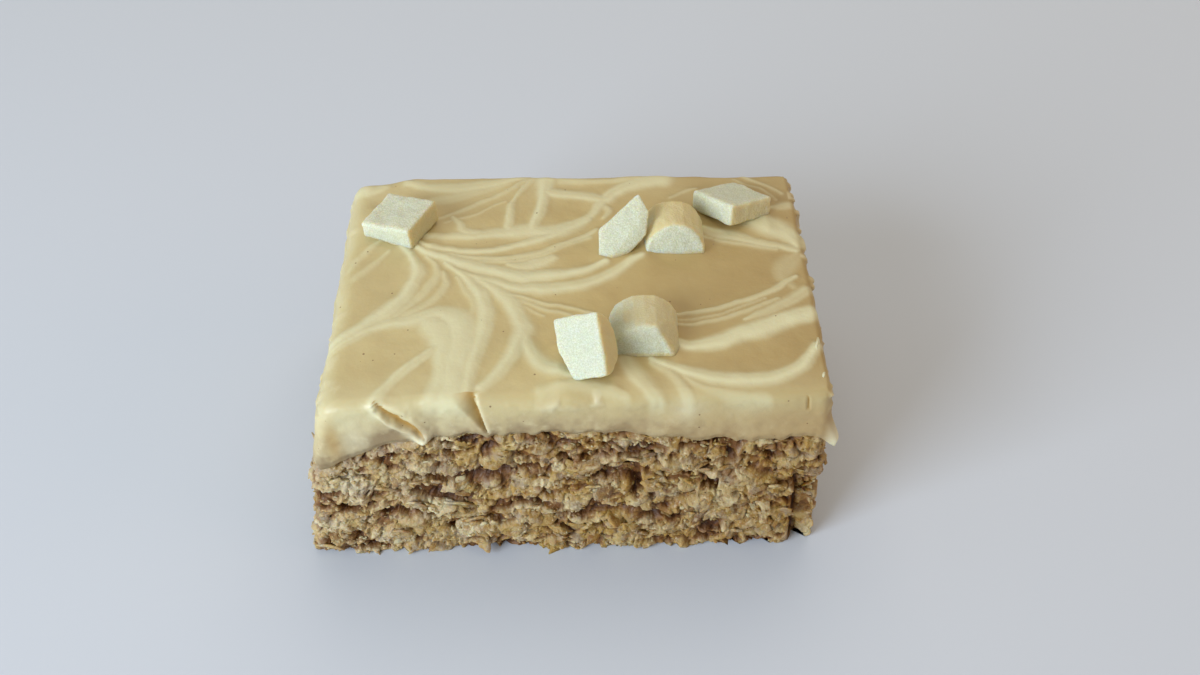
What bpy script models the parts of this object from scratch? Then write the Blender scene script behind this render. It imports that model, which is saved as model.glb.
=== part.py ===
# Oat slice: a baked bar of rolled oats under a layer of swirled icing, with six pieces of
# white chocolate set in the top. Sizes are in millimetres and are turned to metres once, in
# place_mesh. +X runs along the long side, +Y from the cut front to the back, +Z up. The origin
# is on the underside, in the middle of the whole.
import itertools
import math

import bmesh
import bpy
import numpy as np
from mathutils import Euler, Matrix, Vector

MM = 0.001

# Driving dimensions of the slice, in millimetres
HEIGHT = 35.2            # underside to the top of the icing
BASE_HEIGHT = 26.0       # underside to about the middle of the join
RIGHT_FOOT = 41.6        # the right side at the foot, and how far it leans in by the top
RIGHT_LEAN = 1.3
LEFT_FOOT = -43.0        # the left side at the foot, which slopes in towards the icing
LEFT_LEAN = 4.8
LEFT_POWER = 1.6
FRONT_FOOT = -28.4
FRONT_LEAN = 1.0
BACK_FOOT = 29.6
BACK_LEAN = 1.4
BACK_SKEW = 0.015        # the back edge runs slightly out of square
CORNER_BREAK = 2.0       # the back left corner is broken away by this much
CORNER_START = -28.5
CORNER_RUN = 3.0
GAP = 0.34               # clearance between the base and the icing
PIECE_GAP = 0.3          # clearance round each piece of chocolate

# Where the base meets the icing, seen from the front: low at the left, highest near the middle
SEAM_LEFT = 20.0
SEAM_RISE = 7.2
SEAM_RISE_FROM, SEAM_RISE_TO = -41.0, -20.0
SEAM_FALL = 2.2
SEAM_FALL_FROM, SEAM_FALL_TO = 0.0, 30.0
SEAM_WAVE = 0.5
SEAM_WAVE_SIZE = 24.0

# Crags of the baked base: clusters of oats with sharp creases between them, wider than they are
# high. Each scale is its depth and its size.
CRAG_SEED = 11
BROAD_SWELLS = (0.6, 9.0)
CLUSTERS = (2.1, 4.6)
OATS = (0.9, 2.3)
CRAG_FLATNESS = 0.66
CRAG_SINK = 0.55         # how far the middle of the crags lies inside the nominal side
CRAG_LIMIT = 0.9         # no crag stands further out than this
CELL = 1.15              # spacing of the grid that carries the relief
BASE_FACES = 5900
UNDERSIDE_BAND = 0.2     # points this close to the ground lie in the underside
CRACK_X = 36.9           # a split in the front face, right of which the base is set back
CRACK_TOP = 17.0
CRACK_DEPTH = 1.9
CRACK_HALF_WIDTH = 0.9
CRACK_FADE = 2.0         # the crack and the setback die out over this height below the top
SETBACK = 1.6
SETBACK_STEP = 1.0       # width of the step from the front face to the setback
SETBACK_REACH = 5.0      # the setback dies out over this distance along the right side

# Rolled oats that stand out of the sides, spread by the golden section in height, and crumbs at
# the foot: x, y and width
FLAKE_SEED = 23
FLAKE_COUNT = 38
FLAKE_LENGTH = (3.6, 5.4)
FLAKE_WIDTH = (2.4, 3.4)
FLAKE_THICKNESS = 1.3
FLAKE_LOWEST = 2.6
FLAKE_BELOW_SEAM = 2.4
FLAKE_TURN = (0.55, 0.45, 0.4)      # the most that a flake is turned about each axis, in radians
FLAKE_CLEAR_OF_CRACK = (3.0, 2.0)   # sideways from the crack and above its top
GOLDEN_SECTION = 0.618
CRUMBS = ((-37.6, -29.0, 3.2), (15.6, -29.2, 3.4), (38.6, -27.8, 3.4), (-9.0, 29.4, 2.8), (22.0, 28.7, 2.8))
CRUMB_SHAPE = (1.25, 1.25, 0.62)    # length, width and height as shares of the width given
CRUMB_RISE = 0.24                   # height of the middle as a share of the width
CRUMB_TURN = (0.2, 0.15, 0.5)
CRUMB_LIFT = 0.1                    # nothing scattered reaches lower than this

# Icing: rounding of its top edges, and the relief of its swirls
ROUND_LEFT = 3.2
ROUND_RIGHT = 1.0
ROUND_FRONT = 1.9
ROUND_BACK = 1.5
SLUMP = 1.6              # extra rounding where the front left corner has slumped
SLUMP_REACH = 11.0
SLUMP_DROP = 0.4         # share of the slump by which the top there is lower too
ICING_PROUD = 0.5        # the icing stands this far outside the crags
ICING_CELL = 1.3
ICING_EDGE_STEPS = (0.35, 0.9, 1.8)  # extra rows of the grid at these distances from each side
EDGE_MARGIN = 1.2        # the even rows start this many times further in than the last of them
ICING_FACES = 3700
ICING_SEED = 5
ICING_SWELL = 0.22
ICING_SWELL_SIZE = 15.0
SIDE_WAVES = ((0.35, 6.0), (0.15, 2.6))  # depth and size of the unevenness of the cut sides
RIM_FADE = 0.35          # the waves die out over this share of the height, towards the rim
SWIRL_HEIGHT = 0.55
SWIRL_SPREAD = 1.5       # a ridge is this many times as wide as its path

# Each swirl is a smooth path through a few points: x, y and half its width there
SWIRLS = (
    ((-28, 10, 0.6), (-25.5, 5, 1.0), (-26, 0.5, 1.1), (-29, -4.5, 1.1), (-37, -12, 0.8)),
    ((-22, 7, 0.5), (-20.5, 0, 0.9), (-25, -5, 0.9), (-31, -9.5, 0.9), (-38, -14, 0.8)),
    ((-22, 7, 0.6), (-16, 0, 1.3), (-13, -6, 1.5), (-13.2, -13, 1.4), (-16.5, -26, 0.9)),
    ((-15, 0.5, 0.6), (-10, -3.5, 1.1), (-7.2, -9, 1.4), (-8.5, -18, 1.2), (-13.5, -25, 0.7)),
    ((-7, -12, 0.8), (-5.5, -18, 1.2), (-2, -22, 1.0), (1, -23.5, 0.6)),
    ((-36, -14, 0.9), (-29, -9.5, 1.4), (-21, -8, 2.0), (-18.5, -14, 3.0), (-18.8, -28, 3.2)),
    ((-25, 10, 0.6), (-17, 5.5, 1.2), (-10, 2.5, 1.3), (-3, 1.4, 1.2), (6, 4.5, 0.7)),
    ((-16, 2, 0.5), (-9, -0.5, 1.0), (-2, -1.5, 1.3), (5, 0, 1.2), (14, 6, 0.7)),
    ((-25, 13.5, 0.7), (-17, 12.5, 1.2), (-8, 13, 1.8), (-1, 13.5, 1.4), (7, 19, 0.8)),
    ((-28, 28, 0.9), (-20, 27, 1.6), (-12, 28, 1.5), (-6, 30, 1.0)),
    ((-10.5, 22, 0.5), (-10.2, 15, 0.8), (-9, 12, 0.8)),
    ((-2, 29, 2.2), (-4.4, 24, 1.1), (-5.4, 15, 0.9)),
    ((-2, 25.5, 1.0), (4, 24, 1.4), (9, 23.5, 1.4), (16, 28, 2.4)),
    ((20, 13.5, 0.8), (28, 12, 1.2), (34, 9.5, 1.1), (39, 8, 0.7)),
    ((29, 16, 1.0), (34, 13.5, 2.6), (39, 10.5, 1.6)),
    ((17, -10, 0.4), (25, -8.8, 0.8), (32, -5, 0.8), (39, 0, 0.6)),
    ((17, -15.5, 0.8), (24, -16, 1.5), (32, -13, 1.5), (39.5, -9, 1.2)),
    ((13, -19.5, 0.6), (20, -22.5, 1.2), (28, -24.5, 1.4), (35, -22.5, 1.2), (40, -17, 0.8)),
    ((10, -18.5, 0.6), (12, -23, 1.4), (15, -27, 1.0)),
    ((-20, -15, 0.8), (-26, -21, 0.9), (-30, -26, 0.7)),
)

# The cut front of the icing: tears as x, z of the two ends, half width and depth
TEARS = (
    ((-29.5, 34.0), (-22.5, 27.6), 0.8, 1.2),
    ((-14.6, 35.2), (-12.6, 28.6), 1.0, 1.4),
    ((37.0, 35.0), (37.2, 32.0), 0.6, 0.9),
)
LIP_HEIGHT = 0.8         # each tear has a lip above it, moved by this offset in x and z
LIP_OFFSET = (0.9, 0.9)
LIP_SPREAD = 1.4         # half width of a lip as a multiple of the tear's
CHIP = (40.6, -27.5, 24.6)   # a chip of icing that hangs at the right front corner
CHIP_REACH = 2.6
CHIP_OUT = 2.3
CHIP_DROP = 1.3

# Pieces of white chocolate. A slab is a block and a log half of a cylinder, flat side down and its
# axis along Y: size, place of the middle (of the flat side, for a log), turn in degrees, and the
# planes that cut it, each a point as a fraction of the half size and the direction cut away.
EDGE_ROUND = 0.45
PIECES = {
    "chunk_back_left": ("slab", (9.8, 9.4, 4.0), (-28.8, 15.0, 36.9), (1.7, -7.5, -27.2), ()),
    "chunk_back_right": ("slab", (10.0, 9.8, 3.7), (29.4, 18.7, 36.6), (-13.0, -12.0, -51.5), ()),
    "chunk_back_half": ("log", (10.5, 9.6, 5.0), (18.6, 10.9, 34.9), (0.0, 0.0, 0.0),
                        (((0, -1, 0), (0, -1, 0.5)),)),
    "chunk_front_cube": ("log", (10.2, 8.1, 5.2), (1.9, -21.7, 39.85), (143.1, -45.3, 100.9),
                         (((0, -1, 0), (-0.37, -0.93, 0)),)),
    "chunk_front_half": ("log", (11.2, 9.6, 5.4), (12.3, -14.4, 34.9), (0.0, 0.0, 0.0),
                         (((0, -1, 0), (0, -1, 0.3)), ((0.33, -0.69, 1.85), (0.77, -0.32, 0.56)))),
}

# The sixth piece leans on the back half chip. It is the hull of these corners.
LEANING_PIECE = "chunk_back_wedge"
LEANING_CORNERS = (
    (12.6, 13.6, 43.5), (12.6, 9.4, 40.1), (13.9, 8.0, 38.1), (14.5, 10.8, 41.2),
    (5.4, 9.7, 38.3), (5.2, 5.9, 34.8), (7.1, 4.8, 34.7),
    (10.4, 6.2, 34.7), (8.0, 10.8, 34.9), (12.0, 10.6, 36.4),
)

ICING_COLOUR = (0.47, 0.33, 0.15)
BASE_COLOUR = (0.31, 0.20, 0.09)
CHOCOLATE_COLOUR = (0.72, 0.76, 0.58)


def noise(points, size, seed):
    """Smooth value noise from -1 to 1 at each row of points, on a lattice of the given size."""
    table = np.random.default_rng(seed).uniform(-1.0, 1.0, (32, 32, 32))
    scaled = points / size + 64.0
    cell = np.floor(scaled).astype(int)
    part = scaled - cell
    part = part * part * (3.0 - 2.0 * part)
    total = np.zeros(len(points))
    for corner in itertools.product((0, 1), repeat=3):
        weight = np.prod(np.where(np.array(corner) == 1, part, 1.0 - part), axis=1)
        i, j, k = ((cell + corner) % 32).T
        total += weight * table[i, j, k]
    return total


def smooth_step(value, start, end):
    t = np.clip((value - start) / (end - start), 0.0, 1.0)
    return t * t * (3.0 - 2.0 * t)


def sides(x, y, z):
    """The four upright sides of the slice at a height: left, right, front and back."""
    rise = np.clip(z / HEIGHT, 0.0, 1.0)
    left = LEFT_FOOT + LEFT_LEAN * rise ** LEFT_POWER
    right = RIGHT_FOOT - RIGHT_LEAN * rise
    front = FRONT_FOOT + FRONT_LEAN * rise
    back = BACK_FOOT + BACK_LEAN * rise - BACK_SKEW * (x - CORNER_START)
    back = back - CORNER_BREAK * (1.0 - smooth_step(x, CORNER_START - CORNER_RUN, CORNER_START))
    return left, right, front, back


def seam_height(x, y):
    """Height of the join between the base and the icing."""
    rise = SEAM_RISE * smooth_step(x, SEAM_RISE_FROM, SEAM_RISE_TO)
    fall = SEAM_FALL * smooth_step(x, SEAM_FALL_FROM, SEAM_FALL_TO)
    flat = np.stack((x, y, np.zeros_like(x)), axis=1)
    return SEAM_LEFT + rise - fall + SEAM_WAVE * noise(flat, SEAM_WAVE_SIZE, CRAG_SEED + 7)


def cut_fractions(length, cell, edge_steps=()):
    """Fractions of a side at which it is cut: even cells, and extra cuts close to both ends."""
    count = max(1, round(length / cell))
    near = [step / length for step in edge_steps]
    margin = EDGE_MARGIN * max(near, default=0.0)
    inner = [i / count for i in range(1, count) if margin < i / count < 1.0 - margin]
    return sorted(near + inner + [1.0 - fraction for fraction in near])


def cut_block(x_cuts, y_cuts, z_cuts):
    """A unit cube cut into a grid by planes at the given fractions of each side."""
    bm = bmesh.new()
    bmesh.ops.create_cube(bm, size=1.0, matrix=Matrix.Translation((0.5, 0.5, 0.5)))
    for axis, cuts in enumerate((x_cuts, y_cuts, z_cuts)):
        normal = Vector((0.0, 0.0, 0.0))
        normal[axis] = 1.0
        for cut in cuts:
            geometry = bm.verts[:] + bm.edges[:] + bm.faces[:]
            bmesh.ops.bisect_plane(bm, geom=geometry, dist=1e-7, plane_co=normal * cut, plane_no=normal)
    return bm


def read_points(bm):
    return np.array([vert.co[:] for vert in bm.verts])


def write_points(bm, points):
    for vert, point in zip(bm.verts, points):
        vert.co = point


def material(name, colour, roughness):
    made = bpy.data.materials.new(name)
    made.use_nodes = True
    shader = made.node_tree.nodes["Principled BSDF"]
    shader.inputs["Base Color"].default_value = (*colour, 1.0)
    shader.inputs["Roughness"].default_value = roughness
    made.diffuse_color = (*colour, 1.0)
    return made


def place_mesh(bm, name, collection):
    """Turn a bmesh in millimetres into an object in metres."""
    bmesh.ops.scale(bm, vec=(MM, MM, MM), verts=bm.verts)
    mesh = bpy.data.meshes.new(name)
    bm.to_mesh(mesh)
    bm.free()
    obj = bpy.data.objects.new(name, mesh)
    collection.objects.link(obj)
    return obj


def apply_modifiers(obj):
    """Replace an object's mesh with the one its modifiers give."""
    graph = bpy.context.evaluated_depsgraph_get()
    graph.update()
    mesh = bpy.data.meshes.new_from_object(obj.evaluated_get(graph))
    obj.modifiers.clear()
    old = obj.data
    obj.data = mesh
    bpy.data.meshes.remove(old)


def thin_out(obj, faces):
    """Merge the flattest triangles until the mesh has about the given number."""
    bm = bmesh.new()
    bm.from_mesh(obj.data)
    bmesh.ops.triangulate(bm, faces=bm.faces[:])
    total = len(bm.faces)
    bm.to_mesh(obj.data)
    bm.free()
    decimate = obj.modifiers.new("thin_out", "DECIMATE")
    decimate.ratio = min(1.0, faces / total)
    decimate.use_collapse_triangulate = True
    apply_modifiers(obj)


def level_underside(obj):
    """Set the lowest points of the base on one plane, so that it rests on a flat face."""
    for vert in obj.data.vertices:
        if vert.co.z < UNDERSIDE_BAND * MM:
            vert.co.z = 0.0


def side_directions(grid):
    """Outward direction of each point on the upright sides of the unit grid; zero elsewhere."""
    out = np.zeros_like(grid)
    for axis in (0, 1):
        out[:, axis] = (grid[:, axis] > 1.0 - 1e-6).astype(float) - (grid[:, axis] < 1e-6)
    length = np.linalg.norm(out, axis=1)
    out[length > 0] /= length[length > 0][:, None]
    return out


def cluster_distance(points, size, seed):
    """Distance from each point to the nearest of one seeded centre in every cell, in cell sizes."""
    shifts = np.random.default_rng(seed).uniform(0.12, 0.88, (32, 32, 32, 3))
    scaled = points / size + 64.0
    cell = np.floor(scaled).astype(int)
    nearest = np.full(len(points), 9.0)
    for step in itertools.product((-1, 0, 1), repeat=3):
        near = cell + step
        i, j, k = (near % 32).T
        centre = near + shifts[i, j, k]
        nearest = np.minimum(nearest, np.linalg.norm(scaled - centre, axis=1))
    return nearest


def crags(points):
    """How far the baked surface stands out at each point: rounded clusters with creases between."""
    flat = points / np.array((1.0, 1.0, CRAG_FLATNESS))
    out = BROAD_SWELLS[0] * noise(flat, BROAD_SWELLS[1], CRAG_SEED)
    out += CLUSTERS[0] * (0.5 - cluster_distance(flat, CLUSTERS[1], CRAG_SEED + 1))
    out += OATS[0] * (0.5 - cluster_distance(flat, OATS[1], CRAG_SEED + 2))
    return np.minimum(out - CRAG_SINK, CRAG_LIMIT)


def base_points(grid):
    """Points of the base from those of the unit grid."""
    s, t, h = grid.T
    x = LEFT_FOOT + (RIGHT_FOOT - LEFT_FOOT) * s
    y = FRONT_FOOT + (BACK_FOOT - FRONT_FOOT) * t
    z = (seam_height(x, y) - GAP / 2) * h
    left, right, front, back = sides(x, y, z)
    x = left + (right - left) * s
    left, right, front, back = sides(x, y, z)
    y = front + (back - front) * t
    out = side_directions(grid)
    depth = crags(np.stack((x, y, z), axis=1))
    low_front = np.exp(-np.maximum(y - front, 0.0) / SETBACK_REACH)
    low_front *= 1.0 - smooth_step(z, CRACK_TOP - CRACK_FADE, CRACK_TOP)
    split = CRACK_DEPTH * np.exp(-((x - CRACK_X) / CRACK_HALF_WIDTH) ** 2) * (t < 0.5)
    depth -= low_front * (split + SETBACK * smooth_step(x, CRACK_X, CRACK_X + SETBACK_STEP))
    depth = np.where(h > 1.0 - 1e-6, np.minimum(depth, 0.0), depth)
    x = x + out[:, 0] * depth
    y = y + out[:, 1] * depth
    z = np.where(h > 1.0 - 1e-6, seam_height(x, y) - GAP / 2, z)
    return np.stack((x, y, z), axis=1)


def side_spots(count, seed):
    """Seeded places spread evenly round the four sides: fractions of the width, the depth and the
    height, the outward direction, and random numbers for the turn and the size."""
    draw = np.random.default_rng(seed)
    wide = RIGHT_FOOT - LEFT_FOOT
    deep = BACK_FOOT - FRONT_FOOT
    spots = []
    for i in range(count):
        along = (i + draw.uniform(0.1, 0.9)) / count * 2 * (wide + deep)
        level = (i * GOLDEN_SECTION + draw.uniform(-0.08, 0.08)) % 1.0
        turn = draw.uniform(-1.0, 1.0, 3)
        sizes = draw.uniform(0.0, 1.0, 2)
        if along < wide:
            s, t, out = along / wide, 0.0, (0.0, -1.0)
        elif along < wide + deep:
            s, t, out = 1.0, (along - wide) / deep, (1.0, 0.0)
        elif along < 2 * wide + deep:
            s, t, out = 1.0 - (along - wide - deep) / wide, 1.0, (0.0, 1.0)
        else:
            s, t, out = 0.0, 1.0 - (along - 2 * wide - deep) / deep, (-1.0, 0.0)
        spots.append((s, t, level, out, turn, sizes))
    return spots


def add_flake(collection, index, centre, rotation, size):
    """One rolled oat: an icosahedron flattened to its length, width and thickness."""
    bm = bmesh.new()
    bmesh.ops.create_icosphere(bm, subdivisions=1, radius=0.5)
    bmesh.ops.scale(bm, vec=size, verts=bm.verts)
    turn = Euler(rotation).to_matrix().to_4x4()
    bmesh.ops.transform(bm, matrix=Matrix.Translation(centre) @ turn, verts=bm.verts)
    for vert in bm.verts:
        vert.co.z = max(vert.co.z, CRUMB_LIFT)
    place_mesh(bm, f"flake_{index:03d}", collection)


def scatter_flakes(collection):
    """Rolled oats half sunk in the sides of the base, and crumbs at its foot."""
    index = 0
    sideways, above = FLAKE_CLEAR_OF_CRACK
    for s, t, level, out, turn, sizes in side_spots(FLAKE_COUNT, FLAKE_SEED):
        x, y, z = base_points(np.array([[s, t, 0.5]]))[0]
        top = float(seam_height(np.array([x]), np.array([y]))[0]) - FLAKE_BELOW_SEAM
        h = (FLAKE_LOWEST + (top - FLAKE_LOWEST) * level) / (top + FLAKE_BELOW_SEAM)
        x, y, z = base_points(np.array([[s, t, h]]))[0]
        if abs(x - CRACK_X) < sideways and y < 0.0 and z < CRACK_TOP + above:
            continue
        length = FLAKE_LENGTH[0] + (FLAKE_LENGTH[1] - FLAKE_LENGTH[0]) * sizes[0]
        width = FLAKE_WIDTH[0] + (FLAKE_WIDTH[1] - FLAKE_WIDTH[0]) * sizes[1]
        heading = math.atan2(out[1], out[0]) + math.pi / 2
        rotation = np.array((0.0, 0.0, heading)) + turn * FLAKE_TURN
        add_flake(collection, index, (x, y, z), rotation, (length, width, FLAKE_THICKNESS))
        index += 1
    for x, y, width in CRUMBS:
        size = [share * width for share in CRUMB_SHAPE]
        add_flake(collection, index, (x, y, CRUMB_RISE * width), CRUMB_TURN, size)
        index += 1


def join_collection(obj, collection):
    """Fuse a collection's objects to one object and remove them."""
    union = obj.modifiers.new("fuse", "BOOLEAN")
    union.operation = "UNION"
    union.operand_type = "COLLECTION"
    union.collection = collection
    union.solver = "MANIFOLD"
    apply_modifiers(obj)
    for piece in list(collection.objects):
        bpy.data.objects.remove(piece)
    bpy.data.collections.remove(collection)


def keep_largest(obj):
    """Drop loose scraps that the union may leave."""
    bm = bmesh.new()
    bm.from_mesh(obj.data)
    bmesh.ops.remove_doubles(bm, verts=bm.verts, dist=1e-7)
    bmesh.ops.triangulate(bm, faces=bm.faces[:])
    unseen = set(bm.verts)
    groups = []
    while unseen:
        stack = [unseen.pop()]
        group = [stack[0]]
        while stack:
            for edge in stack.pop().link_edges:
                for vert in edge.verts:
                    if vert in unseen:
                        unseen.discard(vert)
                        stack.append(vert)
                        group.append(vert)
        groups.append(group)
    groups.sort(key=len)
    for group in groups[:-1]:
        bmesh.ops.delete(bm, geom=group, context="VERTS")
    bm.to_mesh(obj.data)
    bm.free()


def make_base(collection):
    width = RIGHT_FOOT - LEFT_FOOT
    depth = BACK_FOOT - FRONT_FOOT
    bm = cut_block(cut_fractions(width, CELL), cut_fractions(depth, CELL), cut_fractions(BASE_HEIGHT, CELL))
    write_points(bm, base_points(read_points(bm)))
    base = place_mesh(bm, "oat_base", collection)
    thin_out(base, BASE_FACES)
    level_underside(base)
    flakes = bpy.data.collections.new("flakes")
    bpy.context.scene.collection.children.link(flakes)
    scatter_flakes(flakes)
    join_collection(base, flakes)
    keep_largest(base)
    base.data.materials.clear()
    base.data.materials.append(material("baked_oats", BASE_COLOUR, 0.8))
    return base


def path_points(knots, steps=14):
    """A Catmull-Rom curve through the knots, as rows of x, y and half width."""
    knots = np.array(knots, dtype=float)
    padded = np.vstack((2 * knots[0] - knots[1], knots, 2 * knots[-1] - knots[-2]))
    t = np.linspace(0.0, 1.0, steps, endpoint=False)[:, None]
    rows = []
    for a, b, c, d in zip(padded, padded[1:], padded[2:], padded[3:]):
        rows.append(0.5 * (2 * b + (c - a) * t + (2 * a - 5 * b + 4 * c - d) * t ** 2
                           + (3 * b - a - 3 * c + d) * t ** 3))
    return np.vstack(rows + [knots[-1:]])


def swirl_relief(x, y):
    """Height of the swirls at each place: a soft ridge along every path, never adding up."""
    relief = np.zeros_like(x)
    for knots in SWIRLS:
        path = path_points(knots)
        distance = np.hypot(x[:, None] - path[:, 0], y[:, None] - path[:, 1])
        across = distance / (path[:, 2] * SWIRL_SPREAD)
        relief = np.maximum(relief, np.exp(-across.min(axis=1) ** 2))
    return SWIRL_HEIGHT * relief


def edge_drop(distance, radius):
    """How far a rounded edge lies below the top at a distance from the side."""
    inside = np.clip(1.0 - distance / radius, 0.0, 1.0)
    return radius * (1.0 - np.sqrt(1.0 - inside ** 2))


def icing_top(x, y):
    """Height of the icing's top, swirls and rounded edges included."""
    left, right, front, back = sides(x, y, np.full_like(x, HEIGHT - ROUND_LEFT))
    front = front - ICING_PROUD
    right = right + ICING_PROUD
    slump = SLUMP * np.exp(-np.hypot(x - left, y - front) / SLUMP_REACH)
    flat = np.stack((x, y, np.zeros_like(x)), axis=1)
    z = HEIGHT - SWIRL_HEIGHT / 2 + swirl_relief(x, y)
    z += ICING_SWELL * noise(flat, ICING_SWELL_SIZE, ICING_SEED)
    z -= edge_drop(x - left, ROUND_LEFT + slump) + edge_drop(right - x, ROUND_RIGHT)
    z -= edge_drop(y - front, ROUND_FRONT + slump) + edge_drop(back - y, ROUND_BACK)
    return z - slump * SLUMP_DROP


def tear_depth(x, z):
    """Depth of the tears in the cut front, less the lip above each."""
    depth = np.zeros_like(x)
    for start, end, half_width, deep in TEARS:
        start, end = np.array(start), np.array(end)
        run = end - start
        offset = np.stack((x, z), axis=1) - start
        along = np.clip(offset @ run / (run @ run), 0.0, 1.0)
        across = offset - along[:, None] * run
        distance = np.hypot(*across.T)
        lip = np.hypot(*(across - LIP_OFFSET).T)
        depth += deep * np.exp(-(distance / half_width) ** 2)
        depth -= LIP_HEIGHT * np.exp(-(lip / (LIP_SPREAD * half_width)) ** 2)
    return depth


def icing_points(grid):
    """Points of the icing from those of the unit grid."""
    s, t, h = grid.T
    x = LEFT_FOOT + LEFT_LEAN + (RIGHT_FOOT - RIGHT_LEAN - LEFT_FOOT - LEFT_LEAN) * s
    y = FRONT_FOOT + FRONT_LEAN + (BACK_FOOT - FRONT_FOOT - FRONT_LEAN) * t
    z = np.full_like(x, HEIGHT)
    for _ in range(3):
        left, right, front, back = sides(x, y, z)
        x = left + (right + ICING_PROUD - left) * s
        y = front - ICING_PROUD + (back - front + ICING_PROUD) * t
        low = seam_height(x, y) + GAP / 2
        z = low + (icing_top(x, y) - low) * h
    out = side_directions(grid)
    points = np.stack((x, y, z), axis=1)
    waves = [high * noise(points, size, ICING_SEED + 1 + i) for i, (high, size) in enumerate(SIDE_WAVES)]
    wave = sum(waves) * smooth_step(1.0 - h, 0.0, RIM_FADE)
    depth = np.where(out[:, 1] < -0.9, wave - tear_depth(x, z), wave)
    x = x + out[:, 0] * depth
    y = y + out[:, 1] * depth
    low = seam_height(x, y) + GAP / 2
    z = np.where(h < 1e-6, low, z)
    near = np.exp(-np.sum((np.stack((x, y, z), axis=1) - CHIP) ** 2, axis=1) / CHIP_REACH ** 2)
    near *= out[:, 0] > 0.5
    x = x + CHIP_OUT * near
    z = z - CHIP_DROP * near ** 2
    return np.stack((x, y, z), axis=1)


def make_icing(collection):
    width = RIGHT_FOOT - LEFT_FOOT
    depth = BACK_FOOT - FRONT_FOOT
    bm = cut_block(cut_fractions(width, ICING_CELL, ICING_EDGE_STEPS),
                   cut_fractions(depth, ICING_CELL, ICING_EDGE_STEPS),
                   cut_fractions(HEIGHT - BASE_HEIGHT, ICING_CELL))
    write_points(bm, icing_points(read_points(bm)))
    icing = place_mesh(bm, "icing", collection)
    thin_out(icing, ICING_FACES)
    icing.data.materials.clear()
    icing.data.materials.append(material("caramel_icing", ICING_COLOUR, 0.45))
    return icing


def trim(bm, size, planes):
    """Cut a piece by planes given as fractions of its half size, and close each cut."""
    for fraction, direction in planes:
        point = Vector([f * side / 2 for f, side in zip(fraction, size)])
        geometry = bm.verts[:] + bm.edges[:] + bm.faces[:]
        cut = bmesh.ops.bisect_plane(bm, geom=geometry, dist=1e-6, plane_co=point,
                                     plane_no=direction, clear_outer=True)
        edges = [item for item in cut["geom_cut"] if isinstance(item, bmesh.types.BMEdge)]
        bmesh.ops.contextual_create(bm, geom=edges)


def chocolate_shape(name):
    """The shape of one piece about its own middle, and the matrix that sets it in place."""
    bm = bmesh.new()
    if name == LEANING_PIECE:
        for corner in LEANING_CORNERS:
            bm.verts.new(corner)
        bmesh.ops.convex_hull(bm, input=bm.verts[:])
        return bm, Matrix.Identity(4)
    kind, size, middle, degrees, planes = PIECES[name]
    if kind == "slab":
        bmesh.ops.create_cube(bm, size=1.0)
        bmesh.ops.scale(bm, vec=size, verts=bm.verts)
    else:
        lie = Matrix.Rotation(math.pi / 2, 4, "X")
        bmesh.ops.create_cone(bm, cap_ends=True, segments=20, radius1=0.5, radius2=0.5, depth=1.0, matrix=lie)
        bmesh.ops.scale(bm, vec=(size[0], size[1], 2 * size[2]), verts=bm.verts)
        trim(bm, size, (((0, 0, 0), (0, 0, -1)),))
    trim(bm, size, planes)
    turn = Euler([math.radians(angle) for angle in degrees]).to_matrix().to_4x4()
    return bm, Matrix.Translation(middle) @ turn


def make_piece(name, collection, grow=0.0):
    """One piece of white chocolate, or with grow the hollow that it presses in the icing."""
    bm, place = chocolate_shape(name)
    bmesh.ops.recalc_face_normals(bm, faces=bm.faces[:])
    sharp = [edge for edge in bm.edges if edge.calc_face_angle(0.0) > math.radians(35)]
    bmesh.ops.bevel(bm, geom=sharp, offset=EDGE_ROUND, segments=2, profile=0.5, affect="EDGES")
    if grow:
        bm.normal_update()
        moved = [(vert, vert.co + vert.normal * vert.calc_shell_factor() * grow) for vert in bm.verts]
        for vert, spot in moved:
            vert.co = spot
    bmesh.ops.triangulate(bm, faces=bm.faces[:])
    bmesh.ops.transform(bm, matrix=place, verts=bm.verts)
    return place_mesh(bm, name, collection)


def main():
    for obj in list(bpy.data.objects):
        bpy.data.objects.remove(obj)
    scene = bpy.context.scene.collection
    slice_parts = bpy.data.collections.new("oat_slice")
    scene.children.link(slice_parts)
    cutters = bpy.data.collections.new("cutters")
    scene.children.link(cutters)

    make_base(slice_parts)
    icing = make_icing(slice_parts)
    chocolate = material("white_chocolate", CHOCOLATE_COLOUR, 0.5)
    for name in (*PIECES, LEANING_PIECE):
        piece = make_piece(name, slice_parts)
        piece.data.materials.append(chocolate)
        cutter = make_piece(name, cutters, PIECE_GAP)
        cutter.name = name + "_hollow"
        cutter.hide_render = True
        cutter.display_type = "WIRE"
        hollow = icing.modifiers.new(name, "BOOLEAN")
        hollow.operation = "DIFFERENCE"
        hollow.object = cutter


main()
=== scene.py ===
import itertools
import math

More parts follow.
